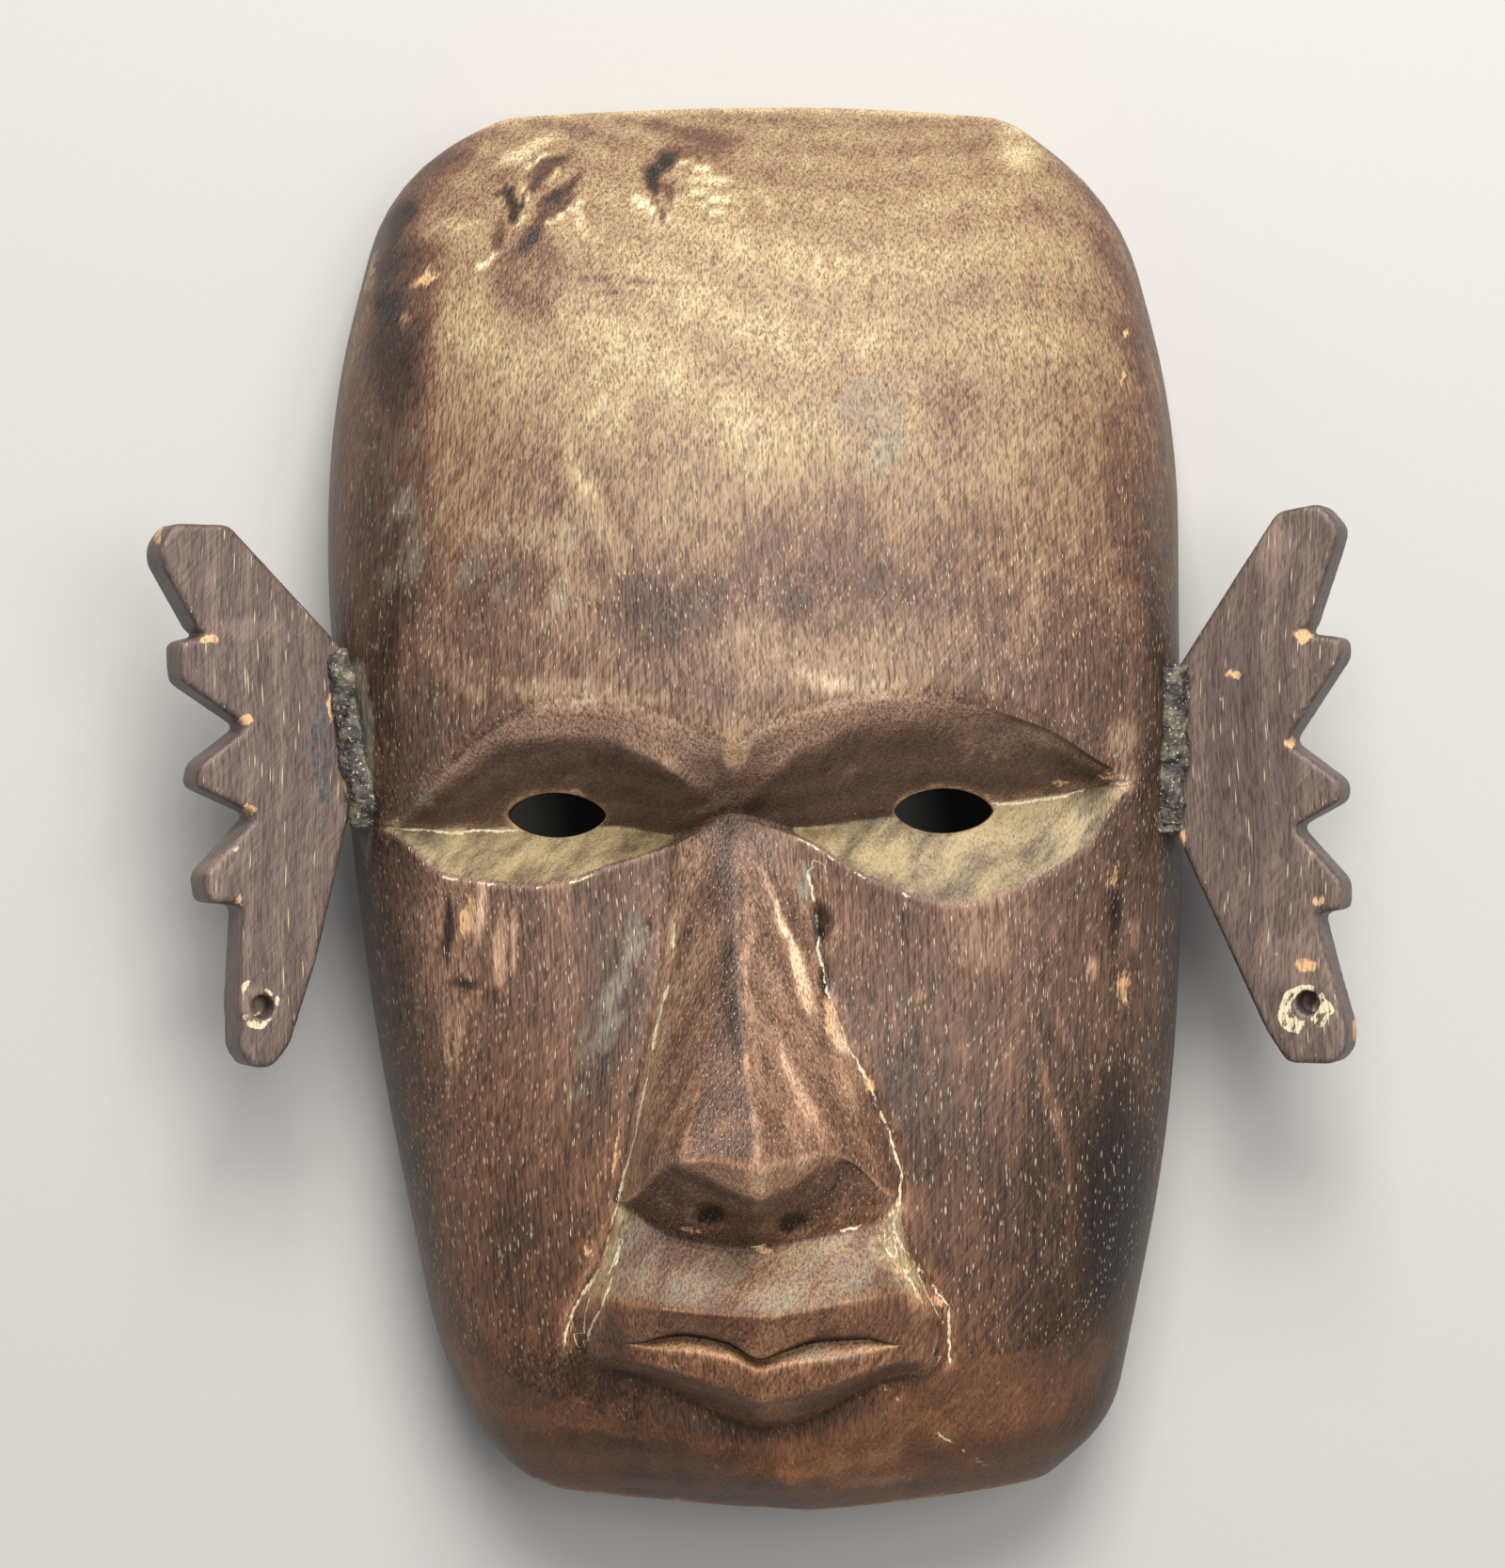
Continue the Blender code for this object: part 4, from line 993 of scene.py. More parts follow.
def carved_grid(size, outline):
    """A net whose columns and rows lie along the carving's lines: places in plan, and each column's edge
    share.
    """
    patch = patch_over(size, outline)
    s, t = np.linspace(0, 1, 201), np.linspace(0, 1, 401)
    plan = patch(*np.broadcast_arrays(s[None, :], t[:, None]))
    across, up = plan[..., 0] / (size.width / 2), plan[..., 1] / (size.length / 2)
    lines = []
    for line in (LEFT, ARRIS, RIDGE, RIGHT):
        lines.append([np.interp(0, row, s) for row in across - line(up)])
    edge = EDGE_REACH / 2 * (np.arange(1, EDGE_COLUMNS + 1) / EDGE_COLUMNS) ** EDGE_POWER
    ones = np.ones((len(t), 1))
    stops = np.concatenate([edge[-1] * ones, np.array(lines).T, (1 - edge[-1]) * ones], axis=1)
    inner = split(stops, (CHEEK_COLUMNS, *NOSE_COLUMNS, CHEEK_COLUMNS))
    columns = [0 * ones, edge[None, :-1] * ones, inner, 1 - edge[None, -2::-1] * ones, ones]
    columns = np.concatenate(columns, axis=1)

    path = patch(columns, np.broadcast_to(t[:, None], columns.shape))
    across, up = path[..., 0] / (size.width / 2), path[..., 1] / (size.length / 2)
    stops = [np.zeros(columns.shape[1])]
    for line in ROW_LINES:
        found = np.array([np.interp(0, column, t) for column in (up - line(across)).T])
        stops.append(np.maximum(found, stops[-1] + LEAST_ROW))
    stops.append(np.ones(columns.shape[1]))
    rows = split(np.array(stops).T, tuple(ROWS.values())).T
    places = np.stack([np.interp(rows[:, j], t, columns[:, j]) for j in range(columns.shape[1])], axis=1)
    return patch(places, rows), 2 * places - 1


def bridge(upper, lower):
    """Faces between two closed loops of indices, whatever their counts."""
    faces = []
    n, m = len(upper), len(lower)
    i = j = 0
    while i < n or j < m:
        if j == m or (i < n and (i + 1) * m <= (j + 1) * n):
            faces.append((upper[i % n], lower[j % m], upper[(i + 1) % n]))
            i += 1
        else:
            faces.append((upper[i % n], lower[j % m], lower[(j + 1) % m]))
            j += 1
    return faces


def grid_faces(rows, columns, start=0):
    faces = []
    for i in range(rows):
        for j in range(columns):
            corner = start + i * (columns + 1) + j
            faces.append((corner, corner + 1, corner + columns + 2, corner + columns + 1))
    return faces


def border_of(rows, columns, start=0):
    """The grid's border as indices, anticlockwise from the lower left corner."""
    low = [(0, j) for j in range(columns)]
    right = [(i, columns) for i in range(rows)]
    top = [(rows, j) for j in range(columns, 0, -1)]
    left = [(i, 0) for i in range(rows, 0, -1)]
    return [start + i * (columns + 1) + j for i, j in low + right + top + left]


def add(tree, kind, inputs=(), output=0, **settings):
    """Adds a node with its settings and returns one of its outputs. Sockets among its inputs are linked to
    it.
    """
    node = tree.nodes.new(kind)
    for name, value in settings.items():
        setattr(node, name, value)
    for key, value in dict(inputs).items():
        if isinstance(value, bpy.types.NodeSocket):
            tree.links.new(value, node.inputs[key])
        else:
            node.inputs[key].default_value = value
    return node if output is None else node.outputs[output]


def colour_of(values):
    return (*values, 1.0)


# Noises in the wood, each with its cell in millimetres and its detail: fibres and bands run along Y, the
# stain's brush strokes and the scraper's scratches aslant, and clouds of stain are wide
WOOD_NOISES = (
    ("fibre", "bent", (0.5, 14, 0.5), 2.0),
    ("band", "bent", (4.0, 50, 4.0), 2.0),
    ("stroke", "strokes", (4.5, 14, 7), 4.0),
    ("cloud", "bent", (22, 30, 22), 3.0),
    ("speck", "place", (0.9, 1.6, 0.9), 3.0),
    ("dash", "bent", (0.36, 3.4, 0.36), 1.0),
    ("scratch", "strokes", (0.5, 11, 1.5), 1.0),
)
# How much each noise sways the stain's shade, and how deep it goes in the bump
SHADE_WEIGHTS = (("fibre", 0.36), ("scratch", 0.20), ("band", 0.16), ("stroke", 0.12), ("cloud", 0.13))
RELIEF_WEIGHTS = (("dash", 1.2), ("fibre", 1.0), ("band", 1.2), ("scratch", 0.9))
# Between which values each shade takes over from the one below it
SHADE_STEPS = ((0.06, 0.32), (0.30, 0.54), (0.50, 0.72), (0.70, 0.95))
# The grain wanders by GRAIN_SWAY millimetres over SWAY_REACH
GRAIN_SWAY = (4, 0, 4)
SWAY_REACH = 40
STROKE_ANGLE = 38
RING_SPACING = 5.5
PITH = (-14, 0, 40)
# How much rings and rubbed edges lighten the shade
RING_SHARE = 0.06
EDGE_SHARE = 0.13
PORE_COVER = 0.72
FIBRE_COVER = 0.62


def stained_hardwood(finish, name, shades, pores_laid, unevenness):
    """Open-grained hardwood, carved with a knife, stained dark and waxed, handled until the stain wore thin.

    To the eye: long pores full of pale dust, fine dark fibres, streaks of stain from near black to
    pale, a soft sheen on what is handled, and bare wood where it is chipped. Shades go from the darkest
    up. The tone and film it reads also carry painted shade, painted highlights and a painted sheen.
    """
    material = bpy.data.materials.new(name)
    material.use_nodes = True
    tree = material.node_tree
    shader = tree.nodes["Principled BSDF"]
    shader.inputs["IOR"].default_value = 1.5
    shader.inputs["Metallic"].default_value = 0.0
    shader.inputs["Specular IOR Level"].default_value = 0.4
    tone, film, paint, bare, lid, line, dust, edge, pores, inside, richness, warm, grain = (
        add(tree, "ShaderNodeAttribute", output="Fac", attribute_name=value) for value in FINISH_VALUES
    )
    place = add(tree, "ShaderNodeTexCoord", output="Object")
    place = add(tree, "ShaderNodeVectorMath", {0: place, "Scale": 1000.0}, operation="SCALE")
    sway = {"Vector": place, "Scale": 1 / SWAY_REACH, "Detail": 0.0}
    sway = add(tree, "ShaderNodeTexNoise", sway, output="Color")
    bent = add(tree, "ShaderNodeVectorMath", {0: sway, 1: GRAIN_SWAY, 2: place}, operation="MULTIPLY_ADD")
    strokes = {"Vector": bent, "Rotation": (0, 0, math.radians(STROKE_ANGLE))}
    strokes = add(tree, "ShaderNodeMapping", strokes)
    sources = {"place": place, "bent": bent, "strokes": strokes}

    noises = {}
    for label, source, cell, detail in WOOD_NOISES:
        scaled = add(tree, "ShaderNodeVectorMath", {0: sources[source], 1: cell}, operation="DIVIDE")
        wave = {"Vector": scaled, "Scale": 1.0, "Detail": detail, "Roughness": 0.6}
        wave = add(tree, "ShaderNodeTexNoise", wave)
        noises[label] = add(tree, "ShaderNodeMath", {0: wave, 1: 0.5}, operation="SUBTRACT")
    # Growth rings round a pith that lies behind the face
    from_pith = add(tree, "ShaderNodeVectorMath", {0: bent, 1: PITH}, operation="ADD")
    rings = add(
        tree,
        "ShaderNodeTexWave",
        {
            "Vector": from_pith,
            "Scale": 0.314 / RING_SPACING,
            "Distortion": 5.0,
            "Detail": 1.0,
            "Detail Scale": 0.06,
        },
        output="Fac",
        wave_type="RINGS",
        rings_direction="Y",
    )
    shade = add(tree, "ShaderNodeMath", {0: rings, 1: RING_SHARE, 2: tone}, operation="MULTIPLY_ADD")
    for label, weight in SHADE_WEIGHTS:
        part = add(tree, "ShaderNodeMath", {0: noises[label], 1: weight * unevenness}, operation="MULTIPLY")
        if label in ("fibre", "scratch"):
            part = add(tree, "ShaderNodeMath", {0: part, 1: grain}, operation="MULTIPLY")
        shade = add(tree, "ShaderNodeMath", {0: part, 1: shade})
    shade = add(tree, "ShaderNodeMath", {0: edge, 1: EDGE_SHARE, 2: shade}, operation="MULTIPLY_ADD")

    colour = colour_of(shades[0])
    warmer = (None, None, finish.warm_gold, finish.warm_pale)
    for (low, high), cool, other in zip(SHADE_STEPS, shades[1:], warmer):
        share = add(tree, "ShaderNodeMapRange", {0: shade, 1: low, 2: high})
        layer = colour_of(cool)
        if other is not None:
            layer = {0: warm, 6: layer, 7: colour_of(other)}
            layer = add(tree, "ShaderNodeMix", layer, output=2, data_type="RGBA")
        colour = add(tree, "ShaderNodeMix", {0: share, 6: colour, 7: layer}, output=2, data_type="RGBA")

    colour = add(tree, "ShaderNodeHueSaturation", {"Saturation": richness, "Color": colour})

    # The lids' wash is darker in its strokes
    share = add(tree, "ShaderNodeMapRange", {0: noises["stroke"], 1: -0.12, 2: 0.10})
    wash = {0: share, 6: colour_of(finish.lid_shaded), 7: colour_of(finish.lid)}
    wash = add(tree, "ShaderNodeMix", wash, output=2, data_type="RGBA")
    # A cut holds dust in a hair's breadth along its middle, frayed to about 0.4 mm
    frayed = add(tree, "ShaderNodeMath", {0: noises["speck"], 1: 0.8, 2: line}, operation="MULTIPLY_ADD")
    frayed = add(tree, "ShaderNodeMath", {0: noises["stroke"], 1: 2.2, 2: frayed}, operation="MULTIPLY_ADD")
    frayed = add(tree, "ShaderNodeMath", {0: frayed}, operation="ABSOLUTE")
    hair = add(tree, "ShaderNodeMapRange", {0: frayed, 1: 0.30, 2: 0.10})
    broken = add(tree, "ShaderNodeMath", {0: noises["stroke"], 1: 2.6, 2: dust}, operation="MULTIPLY_ADD")
    broken = add(tree, "ShaderNodeMath", {0: noises["cloud"], 1: 1.6, 2: broken}, operation="MULTIPLY_ADD")
    dusted = add(tree, "ShaderNodeMapRange", {0: broken, 1: 0.35, 2: 0.65})
    dusted = add(tree, "ShaderNodeMath", {0: dusted, 1: hair}, operation="MULTIPLY")
    rubbed = add(tree, "ShaderNodeMath", {0: edge, 1: 0.40}, operation="MULTIPLY")
    # Layers over the stain, each with a ragged border: its mask, the noise in it, how ragged, and how much
    # it covers
    for mask, label, rag, cover, layer in (
        (rubbed, "stroke", 1.8, 0.55, colour_of(finish.bare)),
        (film, "stroke", 1.2, 0.60, colour_of(finish.film)),
        (lid, "stroke", 0.8, 0.86, wash),
        (paint, "speck", 2.4, 0.80, colour_of(finish.paint)),
        (inside, "cloud", 0.3, 0.75, colour_of(finish.inside)),
        (dusted, "speck", 0.6, 0.90, colour_of(finish.dust)),
        (bare, "speck", 2.0, 0.88, colour_of(finish.bare)),
    ):
        part = add(tree, "ShaderNodeMath", {0: noises[label], 1: rag, 2: mask}, operation="MULTIPLY_ADD")
        share = add(tree, "ShaderNodeMapRange", {0: part, 1: 0.35, 2: 0.70, 4: cover})
        colour = add(tree, "ShaderNodeMix", {0: share, 6: colour, 7: layer}, output=2, data_type="RGBA")

    # Fine dark fibres, about 0.3 mm across and drawn a little coarser than real ones so that they show
    cover = FIBRE_COVER * unevenness**0.5
    share = add(tree, "ShaderNodeMapRange", {0: noises["dash"], 1: 0.0, 2: -0.12, 4: cover})
    share = add(tree, "ShaderNodeMath", {0: share, 1: grain}, operation="MULTIPLY")
    dark = {0: share, 6: colour, 7: colour_of(finish.fibre)}
    colour = add(tree, "ShaderNodeMix", dark, output=2, data_type="RGBA", blend_type="MULTIPLY")

    # Pores, each an ellipsoid in a cell of that size
    holes = None
    for cell, shift, reach in pores_laid:
        moved = add(tree, "ShaderNodeVectorMath", {0: bent, 1: shift}, operation="ADD")
        scaled = add(tree, "ShaderNodeVectorMath", {0: moved, 1: cell}, operation="DIVIDE")
        away = add(tree, "ShaderNodeTexVoronoi", {"Vector": scaled, "Scale": 1.0}, output="Distance")
        hole = add(tree, "ShaderNodeMapRange", {0: away, 1: reach, 2: 0.55 * reach})
        if holes is None:
            holes = hole
        else:
            holes = add(tree, "ShaderNodeMath", {0: holes, 1: hole}, operation="MAXIMUM")
    filled = add(tree, "ShaderNodeMath", {0: noises["stroke"], 1: 2.5, 2: pores}, operation="MULTIPLY_ADD")
    filled = add(tree, "ShaderNodeMapRange", {0: filled, 1: 0.1, 2: 0.8})
    filling = {0: filled, 6: colour_of(finish.darkest), 7: colour_of(finish.dust)}
    filling = add(tree, "ShaderNodeMix", filling, output=2, data_type="RGBA")
    share = add(tree, "ShaderNodeMath", {0: holes, 1: PORE_COVER}, operation="MULTIPLY")
    colour = add(tree, "ShaderNodeMix", {0: share, 6: colour, 7: filling}, output=2, data_type="RGBA")
    tree.links.new(colour, shader.inputs["Base Color"])

    roughness = add(tree, "ShaderNodeMapRange", {0: shade, 1: 0.1, 2: 0.9, 3: 0.40, 4: 0.55})
    rougher = {0: bare, 1: 0.25, 2: roughness}
    roughness = add(tree, "ShaderNodeMath", rougher, operation="MULTIPLY_ADD", use_clamp=True)
    tree.links.new(roughness, shader.inputs["Roughness"])

    # Relief too fine for the mesh: pores, fibres and the scraper's marks, all under 0.2 mm
    depth = add(tree, "ShaderNodeMath", {0: holes, 1: -0.5}, operation="MULTIPLY")
    for label, weight in RELIEF_WEIGHTS:
        weight *= unevenness
        depth = add(tree, "ShaderNodeMath", {0: noises[label], 1: weight, 2: depth}, operation="MULTIPLY_ADD")
    bump = {"Strength": 0.7, "Distance": 0.0002, "Height": depth}
    bump = add(tree, "ShaderNodeBump", bump, output="Normal")
    tree.links.new(bump, shader.inputs["Normal"])
    return material


def aged_resin(finish):
    """Dark resin laid on with a stick, long hardened: lumpy and dull, with grey crusts and flecks of dust."""
    material = bpy.data.materials.new("aged_resin")
    material.use_nodes = True
    tree = material.node_tree
    shader = tree.nodes["Principled BSDF"]
    shader.inputs["IOR"].default_value = 1.54
    place = add(tree, "ShaderNodeTexCoord", output="Object")
    place = add(tree, "ShaderNodeVectorMath", {0: place, "Scale": 1000.0}, operation="SCALE")
    crust = {"Vector": place, "Scale": 1 / 2.6, "Detail": 6.0, "Roughness": 0.68}
    crust = add(tree, "ShaderNodeTexNoise", crust)
    fleck = {"Vector": place, "Scale": 1 / 0.7, "Detail": 3.0, "Roughness": 0.7}
    fleck = add(tree, "ShaderNodeTexNoise", fleck)
    colour = colour_of(finish.resin)
    for source, low, high, cover, layer in (
        (crust, 0.46, 0.64, 0.60, finish.film),
        (fleck, 0.60, 0.66, 0.75, finish.dust),
        (crust, 0.66, 0.74, 0.8, finish.bare),
    ):
        share = add(tree, "ShaderNodeMapRange", {0: source, 1: low, 2: high, 4: cover})
        layer = {0: share, 6: colour, 7: colour_of(layer)}
        colour = add(tree, "ShaderNodeMix", layer, output=2, data_type="RGBA")
    tree.links.new(colour, shader.inputs["Base Color"])
    roughness = add(tree, "ShaderNodeMapRange", {0: crust, 1: 0.35, 2: 0.65, 3: 0.42, 4: 0.75})
    tree.links.new(roughness, shader.inputs["Roughness"])
    relief = add(tree, "ShaderNodeMath", {0: fleck, 1: 0.4, 2: crust}, operation="MULTIPLY_ADD")
    bump = {"Strength": 0.9, "Distance": 0.0008, "Height": relief}
    bump = add(tree, "ShaderNodeBump", bump, output="Normal")
    tree.links.new(bump, shader.inputs["Normal"])
    return material


def matt_paper(settings):
    """Pale matt background paper: even, with a faint tooth and no gloss."""
    material = bpy.data.materials.new("matt_paper")
    material.use_nodes = True
    tree = material.node_tree
    shader = tree.nodes["Principled BSDF"]
    shader.inputs["Roughness"].default_value = 0.9
    place = add(tree, "ShaderNodeTexCoord", output="Object")
    tooth = add(tree, "ShaderNodeTexNoise", {"Vector": place, "Scale": 900.0, "Detail": 2.0})
    share = add(tree, "ShaderNodeMapRange", {0: tooth, 1: 0.3, 2: 0.7, 3: 0.0, 4: 0.06})
    colour = add(
        tree,
        "ShaderNodeMix",
        {0: share, 6: colour_of(settings.floor), 7: colour_of(linear("c9c7c3"))},
        output=2,
        data_type="RGBA",
    )
    tree.links.new(colour, shader.inputs["Base Color"])
    return material


def places_in_use(mesh):
    """The mesh's points and their normals as arrays."""
    count = len(mesh.vertices)
    points, normals = np.empty(count * 3), np.empty(count * 3)
    mesh.vertices.foreach_get("co", points)
    mesh.vertices.foreach_get("normal", normals)
    return points.reshape(-1, 3), normals.reshape(-1, 3)


def edge_pairs(mesh):
    pairs = np.empty(len(mesh.edges) * 2, int)
    mesh.edges.foreach_get("vertices", pairs)
    return pairs.reshape(-1, 2)


def spread(values, pairs, rounds):
    """Values evened out among neighbouring points that many times."""
    count = len(values)
    first, second = pairs.T
    neighbours = np.maximum(np.bincount(pairs.ravel(), minlength=count), 1)
    for _ in range(rounds):
        total = np.bincount(first, values[second], count) + np.bincount(second, values[first], count)
        values = (values + total / neighbours) / 2
    return values


def softened(points, pairs, rounds, share=1.0):
    """Points moved towards their neighbours' middle, by that share of the way in each round."""
    for _ in range(rounds):
        middle = np.stack([spread(points[:, k], pairs, 1) for k in range(3)], axis=1)
        points = points + (middle - points) * np.reshape(share, (-1, 1))
    return points


def bulge(mesh, pairs, rounds):
    """How far each point stands out of its neighbourhood, in metres: above 0 on an arris and below 0 in a
    crease.
    """
    points, normals = places_in_use(mesh)
    middle = np.stack([spread(points[:, k], pairs, rounds) for k in range(3)], axis=1)
    return ((points - middle) * normals).sum(axis=1)


def lumps(points, size, seed):
    """Smooth random values from about -1 to 1 in lumps of that size, as (x, y, z) or one number, in
    metres.
    """
    scaled = points / np.broadcast_to(size, 3) + seed * 17.31
    return np.array([noise.noise(Vector(p)) for p in scaled])


def ragged(points, seed):
    """Places in plan moved about a little, so that what is laid out on them gets a ragged border."""
    shift = np.stack([0.0012 * lumps(points, (0.006, 0.011, 0.01), seed + k) for k in (0, 1)])
    shift += np.stack([0.0007 * lumps(points, (0.0018, 0.004, 0.004), seed + k) for k in (2, 3)])
    return points[:, 0] + shift[0], points[:, 1] + shift[1]


def spot_strength(places, x, y, size):
    """The places' strengths added up at each point."""
    total = np.zeros_like(x)
    for across, up, reach_across, reach_up, turn, amount in places:
        dx, dy = x - across * size.width / 2, y - up * size.length / 2
        cos, sin = math.cos(math.radians(turn)), math.sin(math.radians(turn))
        a, b = (dx * cos + dy * sin) / (reach_across / 1000), (dy * cos - dx * sin) / (reach_up / 1000)
        total += amount * eased((1.45 - np.hypot(a, b)) / 0.9)
    return total


def distance_to(path, x, y, size):
    """Each point's distance in plan from a line through places on the face, above 0 on the line's left."""
    nearest = np.full(np.shape(x), 1.0)
    stops = np.array(path) * (size.width / 2, size.length / 2)
    for start, end in zip(stops, stops[1:]):
        along = end - start
        share = ((x - start[0]) * along[0] + (y - start[1]) * along[1]) / (along @ along)
        share = np.clip(share, 0, 1)
        away_x, away_y = x - start[0] - share * along[0], y - start[1] - share * along[1]
        side = np.where(along[0] * away_y - along[1] * away_x < 0, -1.0, 1.0)
        away = np.hypot(away_x, away_y)
        nearest = np.where(away < np.abs(nearest), away * side, nearest)
    return nearest


def worn(heights, plan, amount):
    """Heights after years of handling: evened out over that distance, more on arrises than in creases."""
    gaps = [np.linalg.norm(np.diff(plan, axis=axis), axis=-1) for axis in (0, 1)]
    step = 2.5e-8
    result = heights
    for _ in range(max(1, round(amount**2 / 2 / step))):
        change = np.zeros_like(result)
        for axis, gap in enumerate(gaps):
            z, d = (result, gap) if axis == 0 else (result.T, gap.T)
            before, after = d[:-1], d[1:]
            between = (z[:-2] * after + z[2:] * before) / (before + after)
            rate = np.minimum(2 * step / (before * after), 0.45)
            part = np.zeros_like(z)
            part[1:-1] = (between - z[1:-1]) * rate
            change += part if axis == 0 else part.T
        result = result + np.where(change > 0, 0.35 * change, change)
    return result


def carved_relief(points, size):
    """Tool marks, knife cuts and knocks in the front, as heights to add."""
    x, y = points[:, 0], points[:, 1]
    height = size.tool_marks * lumps(points, (0.011, 0.026, 0.5), 1)
    height += 0.35 * size.tool_marks * lumps(points, (0.004, 0.012, 0.5), 2)
    uneven = 1 + 0.25 * lumps(points, (0.0030, 0.0060, 0.5), 3)
    for half_width, depth, _, path in CUTS:
        away = np.abs(distance_to(path, x, y, size)) / (half_width / 1000)
        height -= depth / 1000 * uneven * eased(1 - away)
    for across, up, reach_across, reach_up, turn, depth in PITS:
        inside = spot_strength(((across, up, reach_across, reach_up, turn, 1.0),), x, y, size)
        height -= depth / 1000 * inside * (1 + 0.5 * lumps(points, 0.0013, 4))
    return height


def hollow_depths(size, front_tree):
    """How high the hollow's ceiling may be along its length, from its foot up, with the wall left in front
    of it.
    """
    s, t = np.linspace(0, 1, 21), np.linspace(0, 1, HOLLOW_STATIONS + 1)
    plan = patch_over(size, face_outline(size, size.rim_width))(*np.broadcast_arrays(s[None, :], t[:, None]))
    shape = hollow_shape(2 * s - 1, 2 * t - 1)
    room = np.full(len(t), np.inf)
    for i, row in enumerate(plan):
        for j, (x, y) in enumerate(row):
            if shape[i, j] < 0.25:
                continue
            hit = front_tree.ray_cast(Vector((x, y, 2 * size.depth)), Vector((0, 0, -1)))[0]
            if hit is not None:
                room[i] = min(room[i], (hit.z - size.wall) / shape[i, j])
    known = np.isfinite(room)
    room = np.interp(np.arange(len(room)), np.flatnonzero(known), room[known])
    padded = np.pad(room, 2, mode="edge")
    least = np.min([padded[k : k + len(room)] for k in range(5)], axis=0)
    padded = np.pad(least, 2, mode="edge")
    level = np.mean([padded[k : k + len(room)] for k in range(5)], axis=0)
    return t, np.minimum(level, room)


def hollow_shape(across_shares, up_shares):
    """The hollow's section, as a share of its depth."""
    bowl = (1 - np.abs(across_shares) ** 2.4)[None, :] ** (1 / 2.4)
    ends = (1 - np.abs(up_shares) ** 3.0)[:, None] ** (1 / 3.0)
    return bowl * ends


def mesh_from(name, points, faces):
    mesh = bpy.data.meshes.new(name)
    mesh.from_pydata(np.asarray(points, float).tolist(), [], faces)
    mesh.validate()
    tidy = bmesh.new()
    tidy.from_mesh(mesh)
    bmesh.ops.recalc_face_normals(tidy, faces=tidy.faces)
    tidy.to_mesh(mesh)
    tidy.free()
    return mesh


def placed(name, mesh):
    obj = bpy.data.objects.new(name, mesh)
    bpy.context.scene.collection.objects.link(obj)
    return obj


def plain_mesh(obj):
    """The object's mesh as its modifiers leave it, with the modifiers taken off."""
    graph = bpy.context.evaluated_depsgraph_get()
    mesh = bpy.data.meshes.new_from_object(obj.evaluated_get(graph))
    obj.modifiers.clear()
    obj.data = mesh
    return mesh


def face_shell(size):
    """The carved front, its edge, the flat back rim and the hollow, as one closed mesh."""
    outline = face_outline(size)
    plan, edge_shares = carved_grid(size, outline)
    carved = front_height(size, edge_shares, plan[..., 0], plan[..., 1])
    across, up = plan[..., 0] / (size.width / 2), plan[..., 1] / (size.length / 2)
    handled = eased((up - LINES["socket"](across)) / 0.02)
    heights = worn(carved, plan, size.arris_wear)
    heights = heights + (worn(heights, plan, size.brow_wear) - heights) * handled
    rows, columns = plan.shape[0] - 1, plan.shape[1] - 1
    points = np.dstack([plan, heights]).reshape(-1, 3)
    points[:, 2] += carved_relief(points, size)
    faces = grid_faces(rows, columns)
    tree = BVHTree.FromPolygons(points.tolist(), faces)
    border = border_of(rows, columns)
    loops = [border]
    top = points[border]
    for row in range(1, WALL_ROWS + 1):
        loop = top.copy()
        loop[:, 2] *= 1 - row / WALL_ROWS
        loops.append(list(range(len(points), len(points) + len(border))))
        points = np.concatenate([points, loop])
    for upper, lower in zip(loops, loops[1:]):
        for k in range(len(border)):
            faces.append((upper[k - 1], lower[k - 1], lower[k], upper[k]))

    inner = face_outline(size, size.rim_width)
    s, t = np.linspace(0, 1, HOLLOW_COLUMNS + 1), np.linspace(0, 1, HOLLOW_ROWS + 1)
    hollow = patch_over(size, inner)(*np.broadcast_arrays(s[None, :], t[:, None]))
    ceiling = np.interp(t, *hollow_depths(size, tree))[:, None] * hollow_shape(2 * s - 1, 2 * t - 1)
    inside = np.dstack([hollow, ceiling]).reshape(-1, 3)
    gouged = size.tool_marks * 2.2 * lumps(inside, (0.007, 0.018, 0.5), 5)
    inside[:, 2] += gouged * np.clip(inside[:, 2] / 0.006, 0, 1)
    start = len(points)
    points = np.concatenate([points, inside])
    faces += [face[::-1] for face in grid_faces(HOLLOW_ROWS, HOLLOW_COLUMNS, start)]
    faces += bridge(loops[-1], border_of(HOLLOW_ROWS, HOLLOW_COLUMNS, start))
    return mesh_from("face_carved", points, faces)


def eye_cutter(size, across, up):
    """An almond-shaped bar along Z, as long as the face is deep."""
    centre = Vector((across * size.width / 2, up * size.length / 2))
    steps = 24
    loop = []
    for k in range(2 * steps):
        angle = math.pi * k / steps
        pinch = math.copysign(abs(math.sin(angle)) ** 1.25, math.sin(angle))
        across_part, up_part = math.cos(angle) * size.eye_hole_width / 2, pinch * size.eye_hole_height / 2
        loop.append((centre.x + across_part, centre.y + up_part))
    points = [(x, y, z * size.depth) for z in (0.1, 1.1) for x, y in loop]
    count = len(loop)
    faces = [tuple(range(count)), tuple(range(2 * count - 1, count - 1, -1))]
    faces += [(k, (k + 1) % count, count + (k + 1) % count, count + k) for k in range(count)]
    return placed("eye_cutter", mesh_from("eye_cutter", points, faces))


def past(values, threshold, limit):
    """How far the values lie past the threshold on either side of 0, to the limit."""
    return np.sign(values) * np.clip(np.abs(values) - threshold, 0, limit)


def keep_values(mesh, **values):
    """Writes one attribute for each named array, for the materials to read."""
    for name, array in values.items():
        mesh.attributes.new(name, "FLOAT", "POINT").data.foreach_set("value", array.astype(np.float32))


